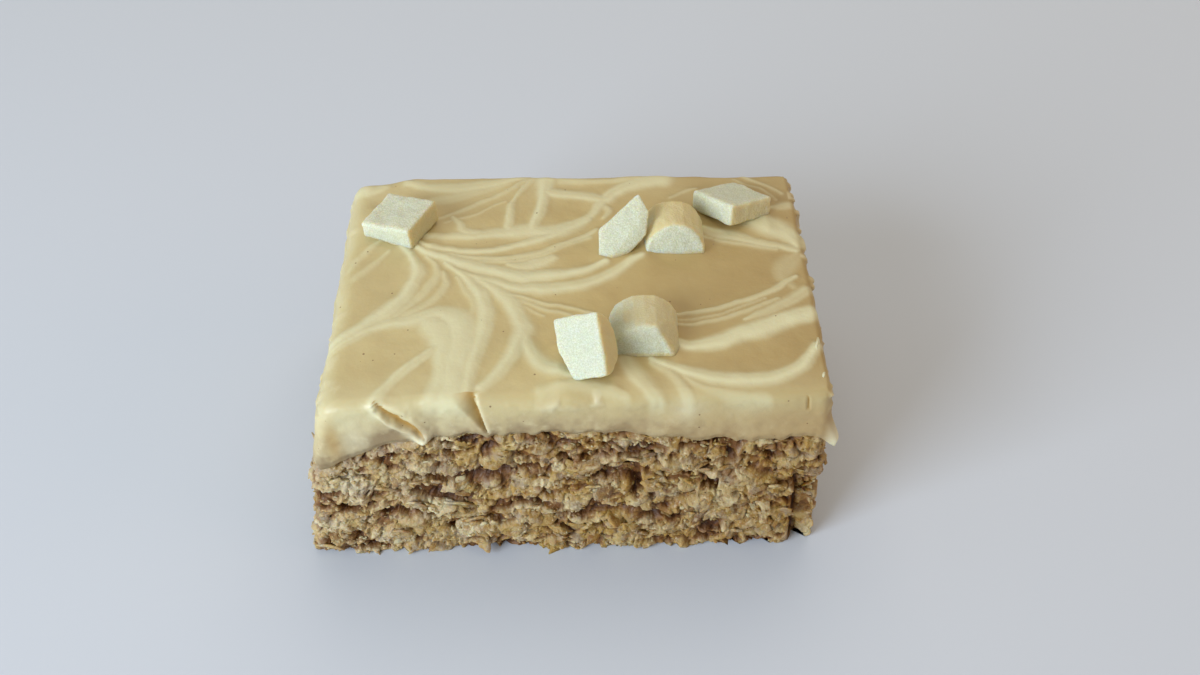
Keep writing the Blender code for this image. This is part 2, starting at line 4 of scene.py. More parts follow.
import bpy
import numpy as np
from mathutils import Matrix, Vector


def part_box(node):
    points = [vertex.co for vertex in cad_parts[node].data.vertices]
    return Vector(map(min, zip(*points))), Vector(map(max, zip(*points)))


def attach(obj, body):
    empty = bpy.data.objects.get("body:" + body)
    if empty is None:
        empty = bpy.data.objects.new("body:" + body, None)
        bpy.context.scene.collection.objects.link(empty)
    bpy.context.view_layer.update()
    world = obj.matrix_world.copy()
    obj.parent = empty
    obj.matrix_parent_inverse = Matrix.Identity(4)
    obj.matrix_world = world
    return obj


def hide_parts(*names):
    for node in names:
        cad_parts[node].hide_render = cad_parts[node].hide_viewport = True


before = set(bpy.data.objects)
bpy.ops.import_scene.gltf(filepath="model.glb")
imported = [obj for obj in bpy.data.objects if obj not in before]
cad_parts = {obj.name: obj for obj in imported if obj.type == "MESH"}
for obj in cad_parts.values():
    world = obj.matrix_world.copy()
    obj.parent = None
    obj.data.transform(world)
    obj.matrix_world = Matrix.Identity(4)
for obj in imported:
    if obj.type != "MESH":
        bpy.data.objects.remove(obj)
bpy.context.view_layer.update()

# Oat base
# Rolled oats bound with syrup and butter, pressed in a tin and cut cold with a knife. The cut
# breaks between the clumps, so all four sides are crumbly, with dark hollows where a clump has
# come away. Sizes here and below are in millimetres.
TO_METRES = 0.001
LATTICE = 32              # number of cells after which a random pattern repeats


def smooth_step(value, start, end):
    """0 up to start, 1 from end, and between them 3 times the share squared less twice it cubed."""
    share = np.clip((value - start) / (end - start), 0.0, 1.0)
    return share * share * (3.0 - 2.0 * share)


def points_of(x, y, z):
    """Three coordinates of like shape, or single numbers, as one array of points."""
    return np.stack(np.broadcast_arrays(x, y, z), axis=-1)


def lattice(points, size):
    """Points counted in cells of the given size, well above zero, and the cell that holds each."""
    scaled = points / size + 2 * LATTICE
    return scaled, np.floor(scaled).astype(int)


def noise(points, size, seed):
    """Value noise from -1 to 1: a random value at each corner of a cell, eased between them."""
    table = np.random.default_rng(seed).uniform(-1.0, 1.0, (LATTICE, LATTICE, LATTICE))
    scaled, cell = lattice(points, size)
    part = scaled - cell
    part = part * part * (3.0 - 2.0 * part)
    total = np.zeros(points.shape[:-1])
    for corner in itertools.product((0, 1), repeat=3):
        weight = np.prod(np.where(corner, part, 1.0 - part), axis=-1)
        i, j, k = np.moveaxis((cell + corner) % LATTICE, -1, 0)
        total += weight * table[i, j, k]
    return total


def layered(points, *layers):
    """The sum of several noises, each given as its depth, its size and its seed."""
    return sum(depth * noise(points, size, seed) for depth, size, seed in layers)


def clumps(points, size, seed):
    """Cells round random centres, one in each cube of the lattice: the distance to the nearest
    centre, the distance to the second, and the number of the nearest."""
    shifts = np.random.default_rng(seed).uniform(0.12, 0.88, (LATTICE, LATTICE, LATTICE, 3))
    scaled, cell = lattice(points, size)
    nearest = np.full(points.shape[:-1], np.inf)
    second = nearest.copy()
    number = np.zeros(points.shape[:-1], dtype=int)
    for step in itertools.product((-1, 0, 1), repeat=3):
        cube = cell + step
        i, j, k = np.moveaxis(cube % LATTICE, -1, 0)
        distance = np.linalg.norm(scaled - cube - shifts[i, j, k], axis=-1)
        closer = distance < nearest
        second = np.where(closer, nearest, np.minimum(second, distance))
        number = np.where(closer, (i * LATTICE + j) * LATTICE + k, number)
        nearest = np.minimum(nearest, distance)
    return nearest, second, number


HEIGHT = 35.2             # from the underside to the top of the icing
LEFT_FOOT, LEFT_LEAN, LEFT_POWER = -43.0, 4.8, 1.6
RIGHT_FOOT, RIGHT_LEAN = 41.6, 1.3
FRONT_FOOT, FRONT_LEAN = -28.4, 1.0
BACK_FOOT, BACK_LEAN, BACK_SKEW = 29.6, 1.4, 0.015
BREAK_X, BREAK_RUN, BREAK_DEPTH = -28.5, 3.0, 2.0  # the back left corner is broken away


def left_right_front(z):
    """Where these sides stand at height z: each leans in from its foot evenly as z grows, and the
    left one by a power of the height."""
    rise = np.clip(z / HEIGHT, 0.0, 1.0)
    left = LEFT_FOOT + LEFT_LEAN * rise ** LEFT_POWER
    return left, RIGHT_FOOT - RIGHT_LEAN * rise, FRONT_FOOT + FRONT_LEAN * rise


def back_side(x, z):
    """Where the back stands: leaning, out of square, and stepped in at its broken left corner."""
    rise = np.clip(z / HEIGHT, 0.0, 1.0)
    broken = 1.0 - smooth_step(x, BREAK_X - BREAK_RUN, BREAK_X)
    return BACK_FOOT + BACK_LEAN * rise - BACK_SKEW * (x - BREAK_X) - BREAK_DEPTH * broken


SEAM_LEFT, SEAM_RISE, SEAM_FALL = 20.0, 7.2, 2.2
SEAM_RISE_SPAN = (-41.0, -20.0)
SEAM_FALL_SPAN = (0.0, 30.0)
SEAM_WAVE = (0.5, 24.0, 18)


def seam_height(x, y):
    """Height of the join of base and icing: an eased rise, a smaller fall, and a long wave."""
    level = SEAM_LEFT + SEAM_RISE * smooth_step(x, *SEAM_RISE_SPAN)
    return level - SEAM_FALL * smooth_step(x, *SEAM_FALL_SPAN) + layered(points_of(x, y, 0.0), SEAM_WAVE)


def ring_columns(side_steps, corner_steps):
    """Columns round a rounded rectangle, from its front left corner: the share of the straight
    length in x and in y, and the outward direction. A corner's columns share one place and turn
    through a quarter circle, and a side's share one direction and move along it."""
    corners = np.array(((0.0, 0.0), (1.0, 0.0), (1.0, 1.0), (0.0, 1.0)))
    rows = []
    for index, (steps, here, after) in enumerate(zip(side_steps, corners, np.roll(corners, -1, axis=0))):
        turn = np.radians(90.0 * (index - 2 + np.linspace(0.0, 1.0, corner_steps, endpoint=False)))
        facing = math.radians(90.0 * (index - 1))
        rows.append(np.stack((np.full(corner_steps, here[0]), np.full(corner_steps, here[1]),
                              np.cos(turn), np.sin(turn))))
        place = here[:, None] + (after - here)[:, None] * np.linspace(0.0, 1.0, steps, endpoint=False)
        rows.append(np.stack((*place, np.full(steps, math.cos(facing)), np.full(steps, math.sin(facing)))))
    return np.hstack(rows)


def band_faces(rows, columns):
    """Quads of a closed band: each joins a point, the next one round, and the two above them."""
    index = np.arange(rows * columns).reshape(rows, columns)
    after = np.roll(index, -1, axis=1)
    return np.stack((index[:-1], after[:-1], after[1:], index[1:]), axis=-1).reshape(-1, 4)


def mesh_piece(name, points, faces, looks, material):
    """A smooth mesh from points in millimetres, faces of one kind, and a value for each point
    under each name in looks."""
    mesh = bpy.data.meshes.new(name)
    mesh.vertices.add(points.size // 3)
    mesh.vertices.foreach_set("co", (points * TO_METRES).astype(np.float32).ravel())
    mesh.loops.add(faces.size)
    mesh.loops.foreach_set("vertex_index", faces.astype(np.int32).ravel())
    mesh.polygons.add(len(faces))
    mesh.polygons.foreach_set("loop_start", np.arange(0, faces.size, faces.shape[1], dtype=np.int32))
    for label, values in looks.items():
        layer = mesh.attributes.new(label, "FLOAT", "POINT")
        layer.data.foreach_set("value", np.asarray(values, dtype=np.float32).ravel())
    mesh.update(calc_edges=True)
    mesh.shade_smooth()
    mesh.materials.append(material)
    made = bpy.data.objects.new(name, mesh)
    bpy.context.scene.collection.objects.link(made)
    return made


def linear(code):
    """The linear colour of an sRGB hex code: the standard curve, straight near black."""
    values = [int(code[start:start + 2], 16) / 255.0 for start in (1, 3, 5)]
    return (*(v / 12.92 if v <= 0.04045 else ((v + 0.055) / 1.055) ** 2.4 for v in values), 1.0)


def add(tree, kind, feeds, out=0, stops=(), **settings):
    """A shader node, and of its outputs the one asked for. Each feed is a socket, a number, or a
    hex colour, and each stop of a ramp is its place with a hex colour or a grey value. A Mix node
    of colours takes its factor at 0 and its colours at 6 and 7, and gives its result at 2."""
    node = tree.nodes.new("ShaderNode" + kind)
    for key, value in settings.items():
        setattr(node, key, value)
    for key, value in feeds.items():
        if isinstance(value, bpy.types.NodeSocket):
            tree.links.new(value, node.inputs[key])
        else:
            node.inputs[key].default_value = linear(value) if isinstance(value, str) else value
    if stops:
        elements = node.color_ramp.elements
        while len(elements) < len(stops):
            elements.new(0.5)
        for element, (position, value) in zip(elements, stops):
            element.position = position
            element.color = linear(value) if isinstance(value, str) else (value, value, value, 1.0)
    return node.outputs[out]


def new_material(name, roughness, glow, reach):
    """A material with its node tree, its shader and object coordinates in millimetres. Light
    enters it by the share glow, and reaches this far inside in red, green and blue."""
    made = bpy.data.materials.new(name)
    made.use_nodes = True
    tree = made.node_tree
    shader = tree.nodes["Principled BSDF"]
    shader.inputs["Roughness"].default_value = roughness
    shader.inputs["Subsurface Weight"].default_value = glow
    shader.inputs["Subsurface Radius"].default_value = reach
    shader.inputs["Subsurface Scale"].default_value = TO_METRES
    place = add(tree, "TexCoord", {}, "Object")
    mm = add(tree, "VectorMath", {0: place, 1: (1000.0, 1000.0, 1000.0)}, operation="MULTIPLY")
    return made, tree, shader, mm


def baked_oats():
    """Baked rolled oats, cut through. The eye sees straw to grey brown from clump to clump, a
    brown painted shade in the hollows, painted light towards the left and painted shade towards
    the right, and a dull face with a shine only where syrup has set."""
    made, tree, shader, mm = new_material("baked oats", 0.5, 0.4, (1.3, 0.75, 0.32))
    tone = add(tree, "Attribute", {}, "Fac", attribute_name="tone")
    deep = add(tree, "Attribute", {}, "Fac", attribute_name="deep")
    fine = add(tree, "TexNoise", {"Vector": mm, "Scale": 1 / 0.9, "Detail": 4.0})
    uneven = add(tree, "Math", {0: fine, 1: 0.5}, operation="SUBTRACT")
    uneven = add(tree, "Math", {0: uneven, 1: 0.9, 2: tone}, operation="MULTIPLY_ADD")
    colour = add(tree, "ValToRGB", {0: uneven}, stops=(
        (0.0, "#7C5C30"), (0.2, "#A0804A"), (0.36, "#B79B62"), (0.5, "#A28240"), (0.64, "#B39D78"),
        (0.8, "#C0AE82"), (1.0, "#D2C59E")))
    # Syrup, bran, toasted edges and flour: the size and detail of the patches, the noise from
    # which they show and that where they are full, how strong they are, and their colour.
    for size, detail, start, full, strength, hue in (
            (5.0, 2.0, 0.44, 0.62, 0.6, "#AA8A38"), (2.4, 3.0, 0.54, 0.64, 0.6, "#968777"),
            (1.5, 3.0, 0.58, 0.7, 0.6, "#8C5C20"), (0.6, 3.0, 0.6, 0.7, 0.65, "#DCD0AC")):
        patches = add(tree, "TexNoise", {"Vector": mm, "Scale": 1 / size, "Detail": detail})
        patches = add(tree, "ValToRGB", {0: patches}, stops=((start, 0.0), (full, strength)))
        colour = add(tree, "Mix", {0: patches, 6: colour, 7: hue}, 2, data_type="RGBA")
    # Painted light and shade across the cut: the colour is lightened towards the left and darkened towards
    # the right, as the light falls from the left.
    along = add(tree, "SeparateXYZ", {0: mm})
    shade = add(tree, "MapRange", {0: along, 1: -45.0, 2: 42.0, 3: 0.0, 4: 0.75})
    colour = add(tree, "Mix", {0: shade, 6: colour, 7: "#DACDB6"}, 2, data_type="RGBA",
                 blend_type="MULTIPLY")
    painted_left_light = add(tree, "MapRange", {0: along, 1: -43.0, 2: -10.0, 3: 0.24, 4: 0.0})
    # Painted shade in the hollows: the deeper a point lies, the browner and darker it is painted.
    hollow_shade = add(tree, "ValToRGB", {0: deep}, stops=((0.2, 0.0), (0.42, 0.6), (0.75, 0.97)))
    deepest_shade = add(tree, "ValToRGB", {0: deep}, stops=((0.55, 0.0), (0.95, 0.95)))
    for share, hue in ((painted_left_light, "#C4B89C"), (hollow_shade, "#74480F"), (deepest_shade, "#482506")):
        colour = add(tree, "Mix", {0: share, 6: colour, 7: hue}, 2, data_type="RGBA")
    shine = add(tree, "ValToRGB", {0: fine}, stops=((0.3, 0.28), (0.7, 0.75)))
    grit = add(tree, "TexNoise", {"Vector": mm, "Scale": 1 / 0.4, "Detail": 4.0})
    normal = add(tree, "Bump", {"Height": grit, "Distance": 0.2 * TO_METRES})
    tree.links.new(colour, shader.inputs["Base Color"])
    tree.links.new(shine, shader.inputs["Roughness"])
    tree.links.new(normal, shader.inputs["Normal"])
    shader.inputs["Specular IOR Level"].default_value = 0.45
    return made


CRAG_LIMIT = 0.9          # no crag stands out further than this
FLATNESS = (1.0, 1.0, 0.66)
TORN = (                  # torn layers: size, flatness and seed of the patches, step, lowest noise
    (4.4, 0.42, 120, 0.5, -0.16),
    (3.2, 0.5, 130, 0.42, -0.1),
    (2.1, 0.6, 140, 0.34, -0.12),
    (1.2, 0.7, 150, 0.14, 0.0),
)


def crust_depth(points):
    """How far a cut side stands out, its tone, and how sunk it is from 0 to 1. Lumps swell by the
    nearness of their centres. Each torn layer adds its step where its own noise is over a limit,
    tilted one way and then the other. Creases between lumps and long flat gaps are then cut in,
    and three fine noises roughen the whole."""
    upright = np.array((0.0, 0.0, 1.0))
    rolling = noise(points / (1.0, 1.0, 0.7), 9.0, 160)
    points = points + 1.3 * rolling[..., None] * upright
    tilt = 0.2 * (points[..., :1] + 0.7 * points[..., 1:2]) * upright
    flat = points / FLATNESS
    jag = np.stack([layered(points, (0.5, 1.1, 110 + axis), (0.28, 0.45, 113 + axis)) for axis in range(3)],
                   axis=-1)
    nearest, second, number = clumps(flat + 0.8 * jag, 4.6, 12)
    out = 0.5 * noise(flat, 9.0, 11) + 1.1 * (0.5 - nearest) - 0.75
    tone = 0.5 * np.random.default_rng(23).uniform(0.0, 1.0, LATTICE ** 3)[number]
    sunk = 0.0
    for size, flatness, seed, step, lowest in TORN:
        tilt = -tilt
        patch = noise((points + tilt) / (1.0, 1.0, flatness), size, seed)
        patch = patch + 0.45 * noise(points, 0.42 * size, seed + 1) + 0.3 * jag[..., 0]
        layer = smooth_step(patch, lowest - 0.09, lowest + 0.09)
        out = out + step * layer + 0.3 * step * np.clip(patch - lowest, 0.0, 1.0)
        sunk = sunk + step * (1.0 - layer)
        tone = tone + 0.25 * np.clip(patch - lowest, -0.5, 0.5)
    crease = 1.0 - smooth_step(second - nearest, 0.0, 0.1)
    gap = noise(points / (1.9, 1.9, 0.42) + 1.2 * jag, 3.0, 15) + 0.3 * noise(flat, 1.5, 16)
    gap = smooth_step(gap - 0.012 * np.abs(points[..., 2] - 17.0), 0.25, 0.5)
    out = np.minimum(out, CRAG_LIMIT) - 0.5 * crease - 1.6 * gap
    out = out + layered(points, (0.1, 0.95, 17), (0.08, 0.48, 19), (0.05, 0.3, 20))
    sunk = np.clip(1.2 * (sunk - 0.5), 0.0, 0.7) + 0.3 * crease + 0.75 * gap
    return out, np.clip(tone + 0.25, 0.0, 1.0), np.clip(sunk, 0.0, 1.0)


CORNER_RADIUS = 1.3
CRACK_X, CRACK_HALF_WIDTH, CRACK_DEPTH = 36.9, 0.45, 2.4  # a split in the front
CRACK_TOP, CRACK_FADE = 17.0, 2.0
SETBACK, SETBACK_STEP, SETBACK_REACH = 1.9, 0.8, 5.0      # right of it the foot is set back


def base_side(part_x, part_y, out_x, out_y, z):
    """Points of the sides at heights z, how deep they lie and their tone. A column stands on the
    rounded rectangle of the four sides, moved outwards by the crust's depth, sideways and up by
    noise times that depth, and inwards at the join, the split and the setback."""
    left, right, front = left_right_front(z)
    x = left + CORNER_RADIUS * (1.0 + out_x) + (right - left - 2 * CORNER_RADIUS) * part_x
    back = back_side(x, z)
    y = front + CORNER_RADIUS * (1.0 + out_y) + (back - front - 2 * CORNER_RADIUS) * part_y
    points = points_of(x, y, z)
    depth, tone, sunk = crust_depth(points)
    tucked = smooth_step(z - seam_height(x, y), -0.8, 0.3)
    depth = np.minimum(depth, CRAG_LIMIT - 0.5 * tucked) - 0.7 * tucked
    low_front = np.exp(-np.maximum(y - front, 0.0) / SETBACK_REACH)
    low_front = low_front * (1.0 - smooth_step(z, CRACK_TOP - CRACK_FADE, CRACK_TOP))
    across = (x - CRACK_X - 0.12 * noise(points, 2.0, 31)) / CRACK_HALF_WIDTH
    split = smooth_step(z, -0.5, 0.8) * np.exp(-across ** 2) * (out_y < -0.5) * low_front
    sideways = 0.5 * noise(points, 2.8, 161) * depth
    lift = 0.5 * noise(points, 2.8, 162) * depth
    lift = lift * smooth_step(z, 0.2, 2.0) * (1.0 - tucked) * (1.0 - split)
    corner = 4.0 * out_x ** 2 * out_y ** 2 * (1.0 - smooth_step(z, 1.0, 4.0))
    setback = SETBACK * low_front * smooth_step(x, CRACK_X, CRACK_X + SETBACK_STEP)
    depth = depth - CRACK_DEPTH * split - setback - 0.6 * corner
    x = x + out_x * depth - out_y * sideways
    y = y + out_y * depth + out_x * sideways
    return x, y, np.maximum(z + lift, 0.0), np.maximum(sunk, split), tone


RIM_START, RIM_SIZE = (-41.0, -28.0), (81.0, 58.0)  # rough plan of the join, to find its height
SIDE_COLUMNS = (440, 110, 130, 110)  # front, right, back, left: the front is meshed finest
CORNER_COLUMNS = 6
CRUST_ROWS = 117
BEHIND_LIP = 2.2          # the crust runs on this far up behind the icing
FOOT_TUCK, FOOT_HEIGHT = 0.35, 0.6
UNDER_SHARES = (0.0, 0.25, 0.6, 0.9)  # rings of the underside, as shares of the way out
UNDER_LINE = 14.0         # the innermost is a line along X, this long each way

part_x, part_y, out_x, out_y = ring_columns(SIDE_COLUMNS, CORNER_COLUMNS)
join = seam_height(RIM_START[0] + RIM_SIZE[0] * part_x, RIM_START[1] + RIM_SIZE[1] * part_y)
z = np.linspace(0.0, 1.0, CRUST_ROWS)[:, None] * (join + BEHIND_LIP)
x, y, raised, deep, tone = base_side(part_x, part_y, out_x, out_y, z)
drawn_in = FOOT_TUCK * (1.0 - smooth_step(z, 0.0, FOOT_HEIGHT))
x = x - drawn_in * out_x
y = y - drawn_in * out_y
shares = np.array(UNDER_SHARES)[:, None]
under_x = shares * x[:1]
under_x[0] = np.clip(x[0], -UNDER_LINE, UNDER_LINE)
sides = points_of(np.vstack((under_x, x)), np.vstack((shares * y[:1], y)),
                  np.vstack((np.zeros_like(under_x), raised)))
looks = {"tone": np.vstack((np.repeat(tone[:1], len(shares), axis=0), tone)),
         "deep": np.vstack((np.repeat(deep[:1], len(shares), axis=0), deep))}
oats = baked_oats()
crust = mesh_piece("oat_crust", sides, band_faces(*sides.shape[:2]), looks, oats)
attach(crust, "root")
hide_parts("oat_base")


# Loose oats
# Rolled oats, crumbs and pale shreds that stand out of the cut sides: steamed, rolled and toasted
# flakes a few millimetres across and about a millimetre thick, bent a little by the mixing.
FLAKE_PROFILE = ((0.0, 0.42), (0.62, 0.5), (0.96, 0.22), (0.98, -0.2), (0.6, -0.5), (0.0, -0.42))
FLOOR_CLEARANCE = 0.03
FOOT_MIDDLE, FOOT_HALF, FOOT_BACK, FOOT_TOP = 39.0, 3.9, -23.0, 16.0  # kept clear of flakes


def flake_shape(around):
    """A thin disc of radius 1 and thickness 1: a closed profile of radius and height, turned."""
    radius, height = np.array(FLAKE_PROFILE).T[:, :, None]
    angles = np.linspace(0.0, 2 * math.pi, around, endpoint=False)
    rings = points_of(radius * np.cos(angles), radius * np.sin(angles), height)
    return rings.reshape(-1, 3), band_faces(len(FLAKE_PROFILE), around)


def turned(normals, spin):
    """Rotations whose third axis is each normal, and whose others are spun about it."""
    helper = np.where(np.abs(normals[:, 2:]) < 0.9, (0.0, 0.0, 1.0), (1.0, 0.0, 0.0))
    level = np.cross(helper, normals)
    level /= np.linalg.norm(level, axis=1)[:, None]
    other = np.cross(normals, level)
    cosine, sine = np.cos(spin)[:, None], np.sin(spin)[:, None]
    return np.stack((level * cosine + other * sine, other * cosine - level * sine, normals), axis=2)


def scatter(name, places, normals, sizes, looks, seed, material, around, wobble, bend):
    """Many flakes as one mesh. Each is the disc with its rim drawn in or out by random shares,
    curled by the square of its length, scaled to its size, turned to its normal and spun."""
    shape, faces = flake_shape(around)
    draw = np.random.default_rng(seed)
    count = len(places)
    rim = 1.0 + draw.uniform(-wobble, wobble, (count, around))
    rim = np.tile(rim, (1, len(FLAKE_PROFILE)))[:, :, None]
    body = shape * np.concatenate((rim, rim, np.ones_like(rim)), axis=2)
    curl = draw.uniform(-bend, bend, (count, 1)) / np.maximum(sizes[:, 2:], 0.2)
    body[:, :, 2] += curl * (body[:, :, 0] ** 2 - 0.35) * sizes[:, :1]
    body = body * (sizes / 2)[:, None, :]
    rotations = turned(normals, draw.uniform(0, 2 * math.pi, count))
    points = np.einsum("nij,nvj->nvi", rotations, body) + places[:, None, :]
    points[:, :, 2] = np.maximum(points[:, :, 2], FLOOR_CLEARANCE)
    starts = (np.arange(count) * len(shape))[:, None, None]
    looks = {label: np.repeat(values, len(shape)) for label, values in looks.items()}
    made = mesh_piece(name, points, (faces + starts).reshape(-1, 4), looks, material)
    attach(made, "root")
    return made


def side_places(count, seed, sunk, lowest, below_join):
    """Random places on the straight sides, each let into the crust by a random depth, with the
    outward direction, the depth of the hollow there, and the generator for further draws."""
    draw = np.random.default_rng(seed)
    straight = np.flatnonzero(np.abs(out_x * out_y) < 0.01)
    pick = straight[draw.integers(0, len(straight), count)]
    level = lowest + draw.uniform(0.0, 1.0, count) * (join[pick] - below_join - lowest)
    x, y, z, deep, _ = base_side(part_x[pick], part_y[pick], out_x[pick], out_y[pick], level)
    outward = points_of(out_x[pick], out_y[pick], 0.0)
    places = points_of(x, y, z) - outward * draw.uniform(*sunk, count)[:, None]
    clear = (y > FOOT_BACK) | (np.abs(x - FOOT_MIDDLE) > FOOT_HALF) | (z > FOOT_TOP)
    return places[clear], outward[clear], deep[clear], draw


def scattered_oats(name, count, seed, sunk, lowest, below_join, flat_share, sizes, tones, around,
                   wobble, bend):
    """Flakes on the sides. A share of them faces outwards, give or take, and the rest face up or
    down, so that their edges stand out of the cut."""
    places, outward, deep, draw = side_places(count, seed, sunk, lowest, below_join)
    count = len(places)
    level = draw.normal(0.0, 1.0, (count, 3)) * 0.35 + (0, 0, 1) * draw.choice((-1, 1), (count, 1))
    lies_flat = draw.uniform(0, 1, (count, 1)) < flat_share
    facing = np.where(lies_flat, outward + 0.6 * level, level + 0.25 * outward)
    facing /= np.linalg.norm(facing, axis=1)[:, None]
    size = np.stack([draw.uniform(least, most, count) for least, most in sizes], axis=1)
    # Each flake takes a share of the painted shade of the hollow it sits in.
    looks = {"tone": draw.uniform(*tones, count), "deep": 0.45 * deep}
    made = scatter(name, places, facing, size, looks, seed + 1, oats, around, wobble, bend)


scattered_oats("rolled_oats", 300, 41, sunk=(0.3, 0.7), lowest=0.8, below_join=1.8, flat_share=0.85,
               sizes=((2.4, 5.0), (1.6, 3.2), (0.8, 1.5)), tones=(0.0, 1.0), around=14,
               wobble=0.36, bend=0.1)
scattered_oats("oat_crumbs", 2750, 43, sunk=(0.05, 0.35), lowest=0.2, below_join=-0.5, flat_share=0.5,
               sizes=((0.4, 1.25), (0.35, 0.85), (0.3, 0.7)), tones=(0.0, 1.0), around=7,
               wobble=0.4, bend=0.0)
scattered_oats("pale_husks", 50, 45, sunk=(0.05, 0.3), lowest=2.0, below_join=1.0, flat_share=1.0,
               sizes=((1.4, 3.0), (0.6, 1.3), (0.2, 0.4)), tones=(1.2, 1.5), around=9,
               wobble=0.4, bend=0.1)


